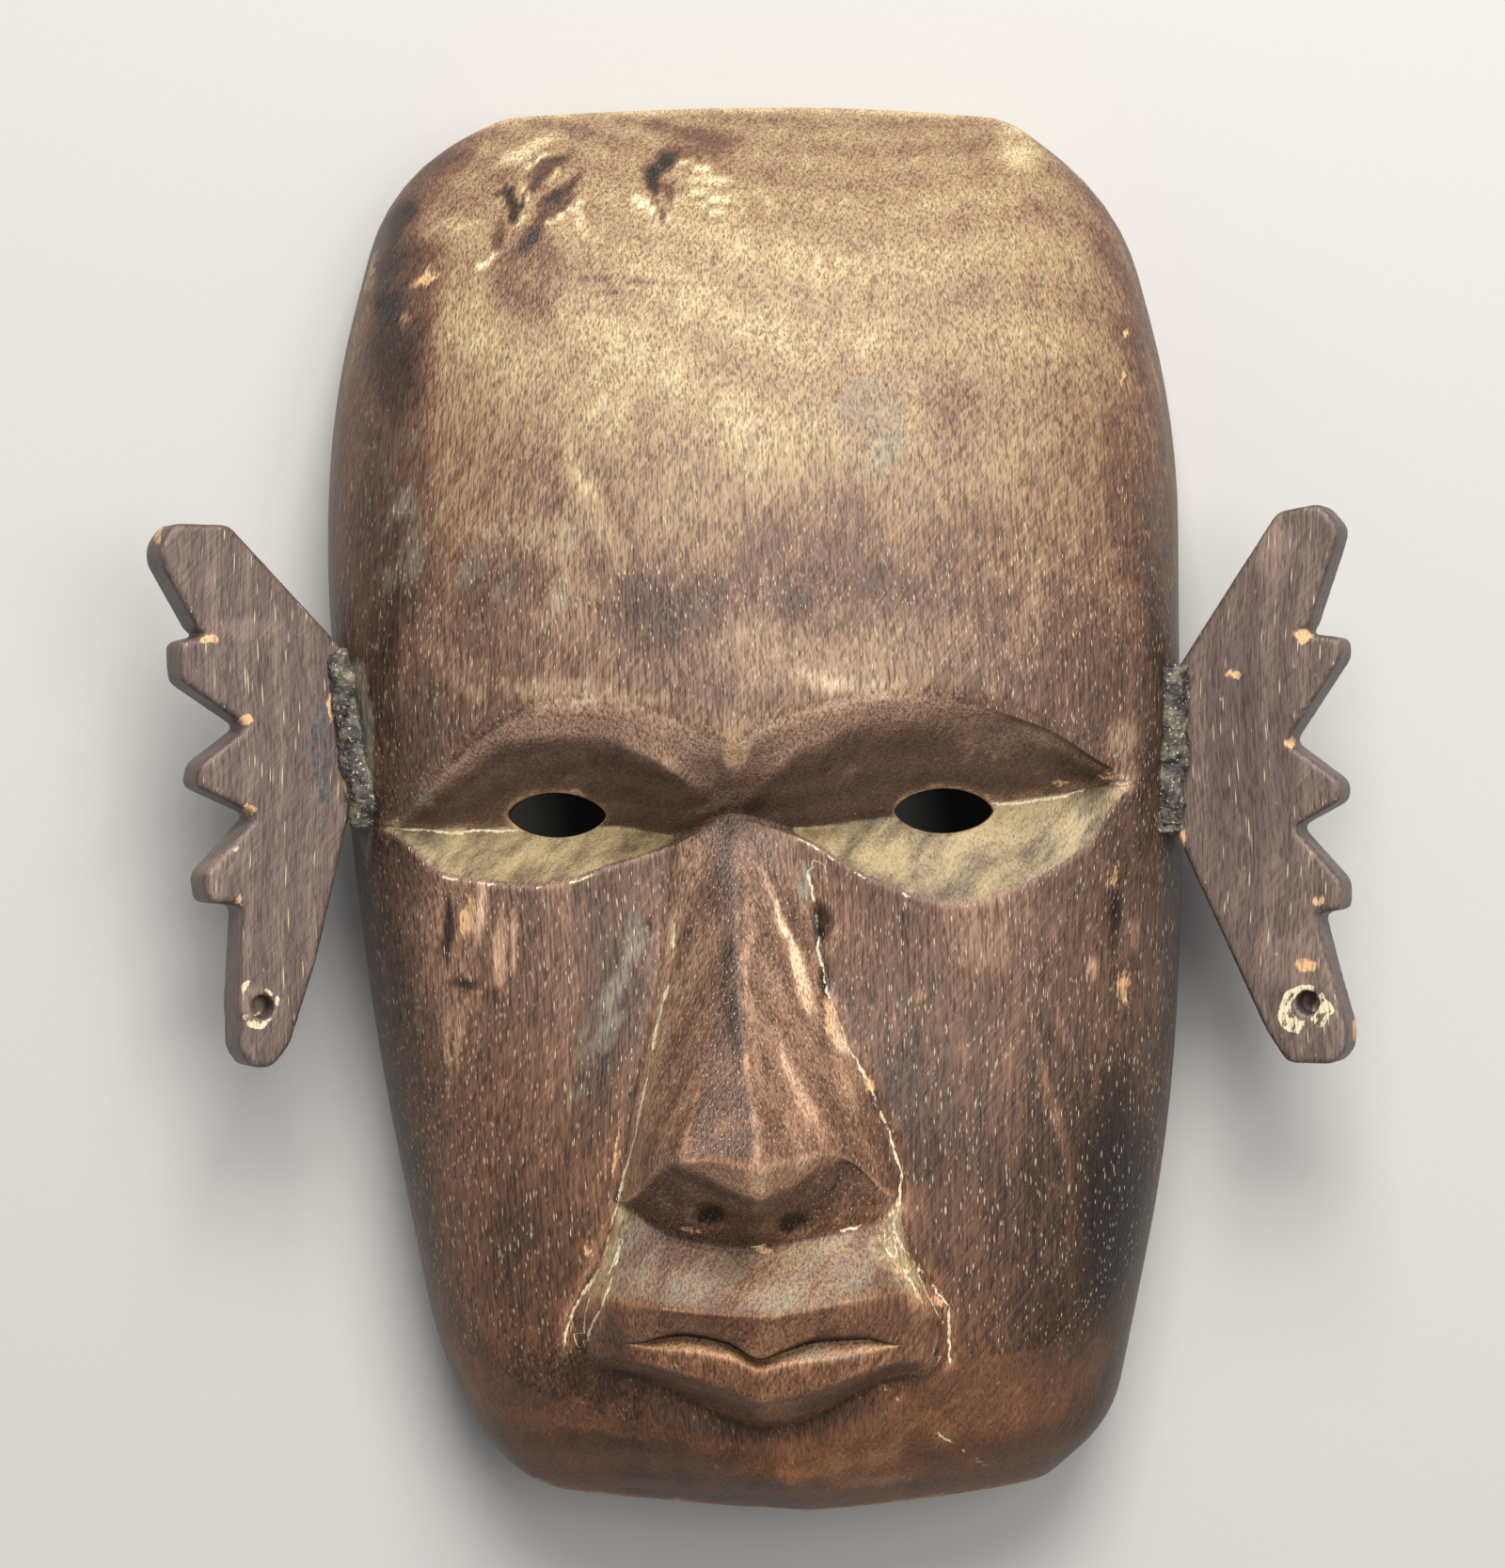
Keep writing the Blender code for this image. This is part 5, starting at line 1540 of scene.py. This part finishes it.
def plane_values(across, up):
    """How much lighter, and how much warmer, each carved plane is: painted shade and light on the mouth
    slit's faces and the chin's facets among them.
    """
    across_lines = {**LINES, "slit": slit_line, "lip_front": lower_lip_front, "end": lambda place: -1.2}
    down_lines = {
        "left": LEFT,
        "arris": ARRIS,
        "ridge": RIDGE,
        "right": RIGHT,
        "mouth_left": lambda place: MOUTH_MIDDLE - MOUTH_HALF_WIDTH,
        "mouth_right": lambda place: MOUTH_MIDDLE + MOUTH_HALF_WIDTH,
        "chin_left": lambda place: -CHIN_RIDGE_REACH,
        "chin_right": lambda place: CHIN_RIDGE_REACH,
    }
    lighter, warmer = np.zeros_like(up), np.zeros_like(up)
    for above, below, left, right, tone, warmth in PLANES:
        inside = np.minimum(across_lines[above](across) - up, up - across_lines[below](across)) / 0.003
        beside = np.minimum(across - down_lines[left](up), down_lines[right](up) - across) / 0.03
        share = eased(0.5 + inside) * eased(0.5 + beside)
        lighter, warmer = lighter + tone * share, warmer + warmth * share
    return lighter, warmer


def past(values, threshold, limit):
    """How far the values lie past the threshold on either side of 0, to the limit."""
    return np.sign(values) * np.clip(np.abs(values) - threshold, 0, limit)


def keep_values(mesh, **values):
    """Writes one attribute for each named array, for the materials to read."""
    for name, array in values.items():
        mesh.attributes.new(name, "FLOAT", "POINT").data.foreach_set("value", array.astype(np.float32))


def face_values(mesh, size):
    """What the stain, wax, dust and wear left at each point of the face, and the painted shade and
    highlights laid over them.
    """
    points, normals = places_in_use(mesh)
    x, y, z = points.T
    across, up = x / (size.width / 2), y / (size.length / 2)
    standing = bulge(mesh, edge_pairs(mesh), 10) / 0.0004
    outside = (normals[:, 2] > -0.25) & (z > 0.004)
    front = eased((normals[:, 2] - 0.05) / 0.2) * outside
    spot_x, spot_y = ragged(points, 20)
    crest, socket, eye = (LINES[name](across) for name in ("crest", "socket", "eye"))
    in_eye = (across > -0.82) & (across < 0.838) & outside
    off_nose = (across < LEFT(up)) | (across > RIGHT(up))
    lid = eased((up - LINES["lid"](across)) / 0.010) * eased((eye + 0.006 - up) / 0.008) * in_eye * off_nose
    hollow = eased((up - eye) / 0.01) * eased((crest - up) / 0.03) * in_eye
    band = eased((up - socket + 0.02) / 0.03) * eased((crest - up) / 0.01) * in_eye
    tone = through(TONE_UP)(up) + spot_strength(TONES, spot_x, spot_y, size)
    lighter, warmer = plane_values(across, up)
    tone += lighter
    # Painted shade on the flanks, deeper the more they turn away from the camera
    tone += FLANK_PAINTED_SHADE * eased((0.93 - normals[:, 2]) / 0.5) * eased((np.abs(across) - 0.62) / 0.2)
    jaw = eased((through(JAW_LINE)(across) - up) / 0.012)
    lip = eased((LINES["base"](across) - up) / 0.01) * eased((up - LINES["mouth"](across)) / 0.01)
    lip *= eased((across - LEFT(up)) / 0.02) * eased((RIGHT(up) - across) / 0.02)
    upper_lip = lip * eased((up - LINES["muzzle"](across)) / 0.008)
    parts = {"lip": lip, "jaw": jaw, "lid": lid, "socket": 0.9 * (hollow - band)}
    smooth = np.max(list(parts.values()), axis=0)
    grain = np.min([1 - (1 - GRAIN[name]) * part for name, part in parts.items()], axis=0)
    tone += JAW_TONE * jaw
    line = (up - LINES["lid"](across)) * size.length / 2
    dust = LID_DUST * in_eye * off_nose
    for _, _, strength, path in CUTS:
        away = distance_to(path, x, y, size)
        closer = np.abs(away) < np.abs(line)
        line = np.where(closer, away, line)
        dust = np.where(closer, strength * eased((0.004 - np.abs(away)) / 0.002), dust)
        frayed = np.abs(distance_to(path, spot_x, spot_y, size))
        tone += CUT_GLOW * strength * eased(1 - frayed / CUT_GLOW_REACH)
    keep_values(
        mesh,
        # Painted shade in the eye sockets below the brow band
        tone=tone + BAND_TONE * band + SOCKET_PAINTED_SHADE * (hollow - band),
        film=(spot_strength(FILMS_AND_PAINTED_SHEEN, spot_x, spot_y, size) + LIP_FILM * upper_lip) * front,
        paint=spot_strength(PAINTS, spot_x, spot_y, size) * front,
        bare=spot_strength(CHIPS, spot_x, spot_y, size) * front,
        lid=lid,
        line=line * 1000,
        dust=dust * front,
        edge=past(standing, 0.25, 1.4),
        pores=through(PALE_PORES_UP)(up) * front * (1 - smooth),
        inside=1.0 - outside,
        richness=through(RICHNESS_UP)(up),
        warm=np.clip(through(WARM_UP)(up) + warmer + BAND_WARMTH * band, 0, 1),
        grain=grain,
    )


class MASK_OT_carve_face(bpy.types.Operator):
    """Carves the face: front, wall, hollow and eye holes"""

    bl_idname = "mask.carve_face"
    bl_label = "Carve the face"

    def execute(self, context):
        size, finish = context.scene.mask_face, context.scene.mask_finish
        piece = placed("face_carved", face_shell(size))
        cutters = [eye_cutter(size, across, up) for across, up in EYE_HOLES]
        for cutter in cutters:
            cut = piece.modifiers.new("eye_hole", "BOOLEAN")
            cut.operation = "DIFFERENCE"
            cut.solver = "EXACT"
            cut.object = cutter
        mesh = plain_mesh(piece)
        for cutter in cutters:
            bpy.data.objects.remove(cutter)
        mesh.materials.clear()
        mesh.shade_smooth()
        face_values(mesh, size)
        shades = (finish.darkest, finish.dark, finish.brown, finish.gold, finish.palest)
        mesh.materials.append(stained_hardwood(finish, "stained_carved_hardwood", shades, FACE_PORES, 1.0))
        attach(piece, "root")
        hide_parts("face")
        return {"FINISHED"}


def ear_values(mesh, side, settings):
    """What the stain, dust and wear left at each point of an ear, and painted shade on its sides."""
    points, normals = places_in_use(mesh)
    standing = bulge(mesh, edge_pairs(mesh), 10) / 0.00035
    x, y = points[:, 0], points[:, 1]
    turn = EAR_TURN[side]
    facing = normals[:, 2] * math.cos(turn) - SIDES[side] * normals[:, 0] * math.sin(turn)
    front = eased((facing - 0.6) / 0.3)
    spot_x, spot_y = ragged(points, 30)
    from_hole = np.hypot(spot_x - EAR_HOLES[side][0], spot_y - EAR_HOLES[side][1])
    ring = eased(1.3 - np.abs(from_hole - settings.ring_width / 2) / 0.0011) * front
    places = {"bare": np.zeros_like(x), "dust": ring, "tone": np.zeros_like(x), "paint": np.zeros_like(x)}
    for kind, middle_x, middle_y, reach_x, reach_y, amount in EAR_PLACES[side]:
        away_x = (spot_x - middle_x / 1000) / (reach_x / 1000)
        away_y = (spot_y - middle_y / 1000) / (reach_y / 1000)
        away = np.hypot(away_x, away_y)
        places[kind] = places[kind] + amount * eased((1.45 - away) / 0.9)
    keep_values(
        mesh,
        # Painted shade on the boards' sides, which turn away from the front
        tone=places["tone"] + EAR_TONE + 0.05 * (front - 1),
        film=np.zeros_like(x),
        paint=places["paint"] * front,
        bare=places["bare"],
        lid=np.zeros_like(x),
        line=np.zeros_like(x),
        dust=places["dust"],
        edge=past(standing, 0.25, 1.4),
        pores=0.25 + 0.75 * front,
        inside=np.zeros_like(x),
        richness=np.full(len(x), EAR_RICHNESS),
        warm=np.zeros_like(x),
        grain=np.ones_like(x),
    )


KNIFE_MARK_SIZE = (0.006, 0.014, 0.006)


class MASK_OT_cut_ears(bpy.types.Operator):
    """Cuts the two toothed ears, with worn edges and chipped blind holes"""

    bl_idname = "mask.cut_ears"
    bl_label = "Cut the ears"

    def execute(self, context):
        settings, finish = context.scene.mask_ears, context.scene.mask_finish
        shades = (finish.darkest, finish.ear_dark, finish.ear_brown, finish.ear_worn, finish.palest)
        board = stained_hardwood(finish, "stained_ear_board", shades, EAR_PORES, 0.6)
        for side in SIDES:
            node = "ear_" + side
            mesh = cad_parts[node].data.copy()
            whole = bmesh.new()
            whole.from_mesh(mesh)
            bmesh.ops.remove_doubles(whole, verts=whole.verts, dist=1e-6)
            whole.to_mesh(mesh)
            whole.free()
            piece = placed(node + "_cut", mesh)
            remesh = piece.modifiers.new("voxels", "REMESH")
            remesh.mode = "VOXEL"
            remesh.voxel_size = settings.voxel
            mesh = plain_mesh(piece)
            points, normals = places_in_use(mesh)
            pairs = edge_pairs(mesh)
            points = softened(points, pairs, settings.rounding)
            marks = settings.knife_marks * lumps(points, KNIFE_MARK_SIZE, 6)
            points = points + normals * marks[:, None]
            mesh.vertices.foreach_set("co", points.ravel())
            mesh.update()
            mesh.materials.clear()
            mesh.shade_smooth()
            ear_values(mesh, side, settings)
            mesh.materials.append(board)
            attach(piece, "root")
            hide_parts(node)
        return {"FINISHED"}


# How finely a bead is drawn along and round, the stops of its path, and how far it ends inside its corner
# in metres
BEAD_STATIONS = 150
BEAD_SIDES = 44
PATH_STOPS = 15
BEAD_INSET = 0.0006


def bead_tree():
    """A lumpy bead of resin along a path, tapered to its ends."""
    tree = bpy.data.node_groups.new("resin_bead", "GeometryNodeTree")
    sockets = {}
    for name, kind in (
        ("Path", "Geometry"),
        ("Radius", "Float"),
        ("Lumpiness", "Float"),
        ("Lump Size", "Float"),
        ("Seed", "Float"),
        ("Material", "Material"),
    ):
        socket = tree.interface.new_socket(name, in_out="INPUT", socket_type="NodeSocket" + kind)
        sockets[name] = socket.identifier
    tree.interface.new_socket("Bead", in_out="OUTPUT", socket_type="NodeSocketGeometry")
    given = add(tree, "NodeGroupInput", output="Path").node
    path, radius, lumpiness, lump_size, seed, material = (given.outputs[name] for name in sockets)
    curve = add(tree, "GeometryNodeMeshToCurve", {"Mesh": path})
    curve = add(tree, "GeometryNodeResampleCurve", {"Curve": curve, "Count": BEAD_STATIONS})
    factor = add(tree, "GeometryNodeSplineParameter", output="Factor")
    arch = add(tree, "ShaderNodeMath", {0: factor, 1: math.pi}, operation="MULTIPLY")
    arch = add(tree, "ShaderNodeMath", {0: arch}, operation="SINE")
    taper = add(tree, "ShaderNodeMath", {0: arch, 1: 0.6}, operation="POWER", use_clamp=True)
    taper = add(tree, "ShaderNodeMath", {0: taper, 1: 0.12}, operation="MAXIMUM")
    # Laid on thick and thin
    swell = add(tree, "ShaderNodeTexNoise", {"W": seed, "Scale": 110.0, "Detail": 2.0}, noise_dimensions="4D")
    swell = add(tree, "ShaderNodeMapRange", {0: swell, 1: 0.35, 2: 0.65, 3: 0.60, 4: 1.25})
    taper = add(tree, "ShaderNodeMath", {0: taper, 1: swell}, operation="MULTIPLY")
    curve = add(tree, "GeometryNodeSetCurveRadius", {"Curve": curve, "Radius": taper})
    section = add(tree, "GeometryNodeCurvePrimitiveCircle", {"Resolution": BEAD_SIDES, "Radius": radius})
    bead = add(tree, "GeometryNodeCurveToMesh", {"Curve": curve, "Profile Curve": section, "Fill Caps": True})
    scale = add(tree, "ShaderNodeMath", {0: 1.0, 1: lump_size}, operation="DIVIDE")
    lump = {"W": seed, "Scale": scale, "Detail": 4.0, "Roughness": 0.62}
    lump = add(tree, "ShaderNodeTexNoise", lump, noise_dimensions="4D")
    lump = add(tree, "ShaderNodeMath", {0: lump, 1: 0.5}, operation="SUBTRACT")
    lump = add(tree, "ShaderNodeMath", {0: lump, 1: lumpiness}, operation="MULTIPLY")
    outwards = add(tree, "GeometryNodeInputNormal")
    offset = add(tree, "ShaderNodeVectorMath", {0: outwards, "Scale": lump}, operation="SCALE")
    bead = add(tree, "GeometryNodeSetPosition", {"Geometry": bead, "Offset": offset})
    bead = add(tree, "GeometryNodeSetShadeSmooth", {"Geometry": bead})
    bead = add(tree, "GeometryNodeRealizeInstances", {"Geometry": bead})
    bead = add(tree, "GeometryNodeSetMaterial", {"Geometry": bead, "Material": material})
    add(tree, "NodeGroupOutput", {"Bead": bead}, output=None)
    return tree, sockets


class MASK_OT_fill_joints(bpy.types.Operator):
    """Lays the beads of resin into the corners between the ears and the face"""

    bl_idname = "mask.fill_joints"
    bl_label = "Fill the joints"

    def execute(self, context):
        settings, finish = context.scene.mask_filler, context.scene.mask_finish
        tree, sockets = bead_tree()
        material = aged_resin(finish)
        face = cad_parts["face"].data
        corners = [vertex.co for vertex in face.vertices]
        flank = BVHTree.FromPolygons(corners, [tuple(part.vertices) for part in face.polygons])
        for side, sign in SIDES.items():
            node = "joint_filler_" + side
            low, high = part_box(node)
            stops = []
            for share in np.linspace(0, 1, PATH_STOPS):
                y = low.y + BEAD_INSET + (high.y - low.y - 2 * BEAD_INSET) * share
                hit = flank.ray_cast(Vector((sign * 0.2, y, settings.height)), Vector((-sign, 0, 0)))[0]
                sway = settings.sway * noise.noise(Vector((0, y * 130, settings.seed + sign)))
                stops.append((hit.x + sign * settings.set_out + sway, y, settings.height + sway))
            line = [(k, k + 1) for k in range(len(stops) - 1)]
            path = bpy.data.meshes.new(node + "_bead")
            path.from_pydata(stops, line, [])
            piece = placed(node + "_bead", path)
            bead = piece.modifiers.new("bead", "NODES")
            bead.node_group = tree
            bead[sockets["Radius"]] = settings.radius
            bead[sockets["Lumpiness"]] = settings.lumpiness
            bead[sockets["Lump Size"]] = settings.lump_size
            bead[sockets["Seed"]] = settings.seed + sign
            bead[sockets["Material"]] = material
            plain_mesh(piece)
            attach(piece, "root")
            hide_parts(node)
        return {"FINISHED"}



# The floor lies a hair under the rim. The camera looks straight down, as the photographer did, with a lens
# that the mask fills the frame in; sensor and lens are in millimetres.
FLOOR_HEIGHT = -0.0002
LAMP_COLOUR = "fffaf4"
SENSOR_WIDTH = 36.0
FOCAL_LENGTH = 90.3
CAMERA_PLACE = (0.0, 0.004, 0.72)


class MASK_OT_set_stage(bpy.types.Operator):
    """Sets the pale floor, the soft light and the camera that looks down on the mask"""

    bl_idname = "mask.set_stage"
    bl_label = "Set the stage"

    def execute(self, context):
        settings = context.scene.mask_stage
        sheet = bpy.data.meshes.new("floor")
        half = settings.floor_width / 2
        corners = [(x * half, y * half, FLOOR_HEIGHT) for x, y in ((-1, -1), (1, -1), (1, 1), (-1, 1))]
        sheet.from_pydata(corners, [], [(0, 1, 2, 3)])
        floor = placed("floor", sheet)
        sheet.materials.append(matt_paper(settings))

        world = bpy.data.worlds.new("studio")
        world.use_nodes = True
        background = world.node_tree.nodes["Background"]
        background.inputs["Color"].default_value = colour_of(settings.fill)
        background.inputs["Strength"].default_value = settings.fill_strength
        context.scene.world = world

        for label, place, power, width in (
            ("key", settings.key_place, settings.key_power, settings.key_width),
            ("front", settings.front_place, settings.front_power, settings.key_width),
        ):
            lamp = bpy.data.lights.new(label, "AREA")
            lamp.shape = "SQUARE"
            lamp.size = width
            lamp.energy = power
            lamp.color = linear(LAMP_COLOUR)
            light = bpy.data.objects.new(label, lamp)
            light.location = place
            light.rotation_euler = (-Vector(place)).to_track_quat("-Z", "Y").to_euler()
            context.scene.collection.objects.link(light)

        lens = bpy.data.cameras.new("camera")
        lens.sensor_fit = "AUTO"
        lens.sensor_width = SENSOR_WIDTH
        lens.lens = FOCAL_LENGTH
        lens.clip_start = 0.01
        camera = bpy.data.objects.new("camera", lens)
        camera.location = CAMERA_PLACE
        context.scene.collection.objects.link(camera)
        context.scene.camera = camera
        context.scene.view_settings.view_transform = "Standard"
        return {"FINISHED"}


def length_setting(name, description, default):
    return FloatProperty(
        name=name, description=description, default=default, min=0.0, unit="LENGTH", precision=5
    )


def colour_setting(name, description, hex_colour):
    return FloatVectorProperty(
        name=name, description=description, default=linear(hex_colour), min=0.0, max=1.0, subtype="COLOR"
    )


def place_setting(name, description, place):
    return FloatVectorProperty(
        name=name, description=description, default=place, subtype="XYZ", unit="LENGTH"
    )


def power_setting(name, description, power):
    return FloatProperty(name=name, description=description, default=power, unit="POWER")


class MaskFaceSettings(bpy.types.PropertyGroup):
    length: length_setting("Length", "From the chin to the top of the forehead", 0.2472)
    width: length_setting("Width", "Across the cheeks", 0.154)
    depth: length_setting("Depth", "What the carving's heights are shares of", 0.080)
    rim_width: length_setting("Rim width", "Width of the flat back rim", 0.010)
    wall: length_setting("Wall", "Least wood between the front and the hollow", 0.008)
    eye_hole_width: length_setting("Eye hole width", "Across one eye hole", 0.0172)
    eye_hole_height: length_setting("Eye hole height", "Up one eye hole", 0.0078)
    arris_wear: length_setting("Arris wear", "How far handling has rounded the arrises", 0.0003)
    brow_wear: length_setting("Brow wear", "How far it has rounded the crest of the brow", 0.0020)
    tool_marks: length_setting("Tool marks", "Height of the knife's facets", 0.00016)


class MaskEarSettings(bpy.types.PropertyGroup):
    voxel: length_setting("Grain of the mesh", "Edge of the voxels that the boards are rebuilt from", 0.00042)
    rounding: IntProperty(name="Rounding", description="Rounds of smoothing over the edges", default=3, min=0)
    knife_marks: length_setting("Knife marks", "Height of the marks on the boards", 0.00004)
    ring_width: length_setting("Ring width", "Across the chipped ring round a blind hole", 0.0064)


class MaskFillerSettings(bpy.types.PropertyGroup):
    radius: length_setting("Radius", "Half the bead's thickness", 0.0029)
    lumpiness: length_setting("Lumpiness", "Height of the lumps", 0.0034)
    lump_size: length_setting("Lump size", "Distance between the lumps", 0.0034)
    seed: FloatProperty(name="Seed", description="Chooses among shapes of the lumps", default=4.0)
    height: length_setting("Height", "The bead's height above the rim", 0.0350)
    sway: length_setting("Sway", "How far the bead wanders from the corner", 0.0026)
    set_out: length_setting("Set out", "The bead's middle from the flank", 0.0006)


class MaskFinishSettings(bpy.types.PropertyGroup):
    darkest: colour_setting("Darkest stain", "Stain that lies thick, and the bottoms of pores", "1d1411")
    dark: colour_setting("Dark stain", "The shaded stain", "3b281b")
    brown: colour_setting("Brown stain", "The cheeks' even stain", "744e35")
    gold: colour_setting("Worn stain", "Where handling wore the stain thin", "a68d62")
    palest: colour_setting("Palest wear", "Where almost no stain is left", "d9cda2")
    warm_gold: colour_setting("Worn stain, lower down", "The same over the redder cheeks and jaw", "a67b5a")
    warm_pale: colour_setting("Palest wear, lower down", "The same over the cheeks and jaw", "e0bb90")
    fibre: colour_setting("Dark fibres", "What the fibres darken the stain to, as a share of it", "746c62")
    ear_dark: colour_setting("Ears' dark stain", "The boards' shaded stain", "3c302e")
    ear_brown: colour_setting("Ears' stain", "The boards' even stain", "685751")
    ear_worn: colour_setting("Ears' worn stain", "Where the boards are worn", "947b6a")
    film: colour_setting("Grey film", "Old wax and dust", "8a8475")
    lid: colour_setting("Lids", "The khaki wash on the lower lids", "a4936c")
    lid_shaded: colour_setting("Lids' strokes", "The darker strokes in that wash", "5c4f3a")
    paint: colour_setting("Old paint", "What is left of a blue-green paint", "34454b")
    inside: colour_setting("Hollow", "The unstained hollow and back", "6e543c")
    dust: colour_setting("Pale dust", "Dust in the pores and cuts", "dfd2b0")
    bare: colour_setting("Bare wood", "Fresh chips", "d6ad80")
    resin: colour_setting("Resin", "The joints' dark resin", "2a2624")


class MaskStageSettings(bpy.types.PropertyGroup):
    floor: colour_setting("Floor", "The paper under the mask", "b4b4b3")
    fill: colour_setting("Fill", "The light from all round", "f1f2f4")
    floor_width: length_setting("Floor width", "Across the paper", 6.0)
    fill_strength: FloatProperty(name="Fill strength", description="Light from all round", default=0.36)
    key_place: place_setting("Key light", "Where the key light stands", (0.08, 0.85, 1.0))
    key_power: power_setting("Key power", "Power of the key light", 25.0)
    key_width: length_setting("Light width", "Across a light", 0.7)
    front_place: place_setting("Front light", "Where the front light stands", (0.50, 0.15, 1.35))
    front_power: power_setting("Front power", "Power of the front light", 9.0)


OPERATORS = (MASK_OT_carve_face, MASK_OT_cut_ears, MASK_OT_fill_joints, MASK_OT_set_stage)
SETTINGS = {
    "mask_face": MaskFaceSettings,
    "mask_ears": MaskEarSettings,
    "mask_filler": MaskFillerSettings,
    "mask_finish": MaskFinishSettings,
    "mask_stage": MaskStageSettings,
}


class MASK_PT_pieces(bpy.types.Panel):
    """The mask's pieces and their sizes and colours"""

    bl_idname = "MASK_PT_pieces"
    bl_label = "Carved mask"
    bl_space_type = "VIEW_3D"
    bl_region_type = "UI"
    bl_category = "Mask"

    def draw(self, context):
        for operator in OPERATORS:
            self.layout.operator(operator.bl_idname)
        for name, group in SETTINGS.items():
            box = self.layout.box()
            for setting in group.__annotations__:
                box.prop(getattr(context.scene, name), setting)


def register():
    for group in SETTINGS.values():
        bpy.utils.register_class(group)
    for kind in (*OPERATORS, MASK_PT_pieces):
        bpy.utils.register_class(kind)
    for name, group in SETTINGS.items():
        setattr(bpy.types.Scene, name, PointerProperty(type=group))


def unregister():
    for name in SETTINGS:
        delattr(bpy.types.Scene, name)
    for kind in (MASK_PT_pieces, *OPERATORS, *SETTINGS.values()):
        bpy.utils.unregister_class(kind)


def main():
    register()
    bpy.ops.mask.carve_face()
    bpy.ops.mask.cut_ears()
    bpy.ops.mask.fill_joints()
    bpy.ops.mask.set_stage()


if __name__ == "__main__":
    main()
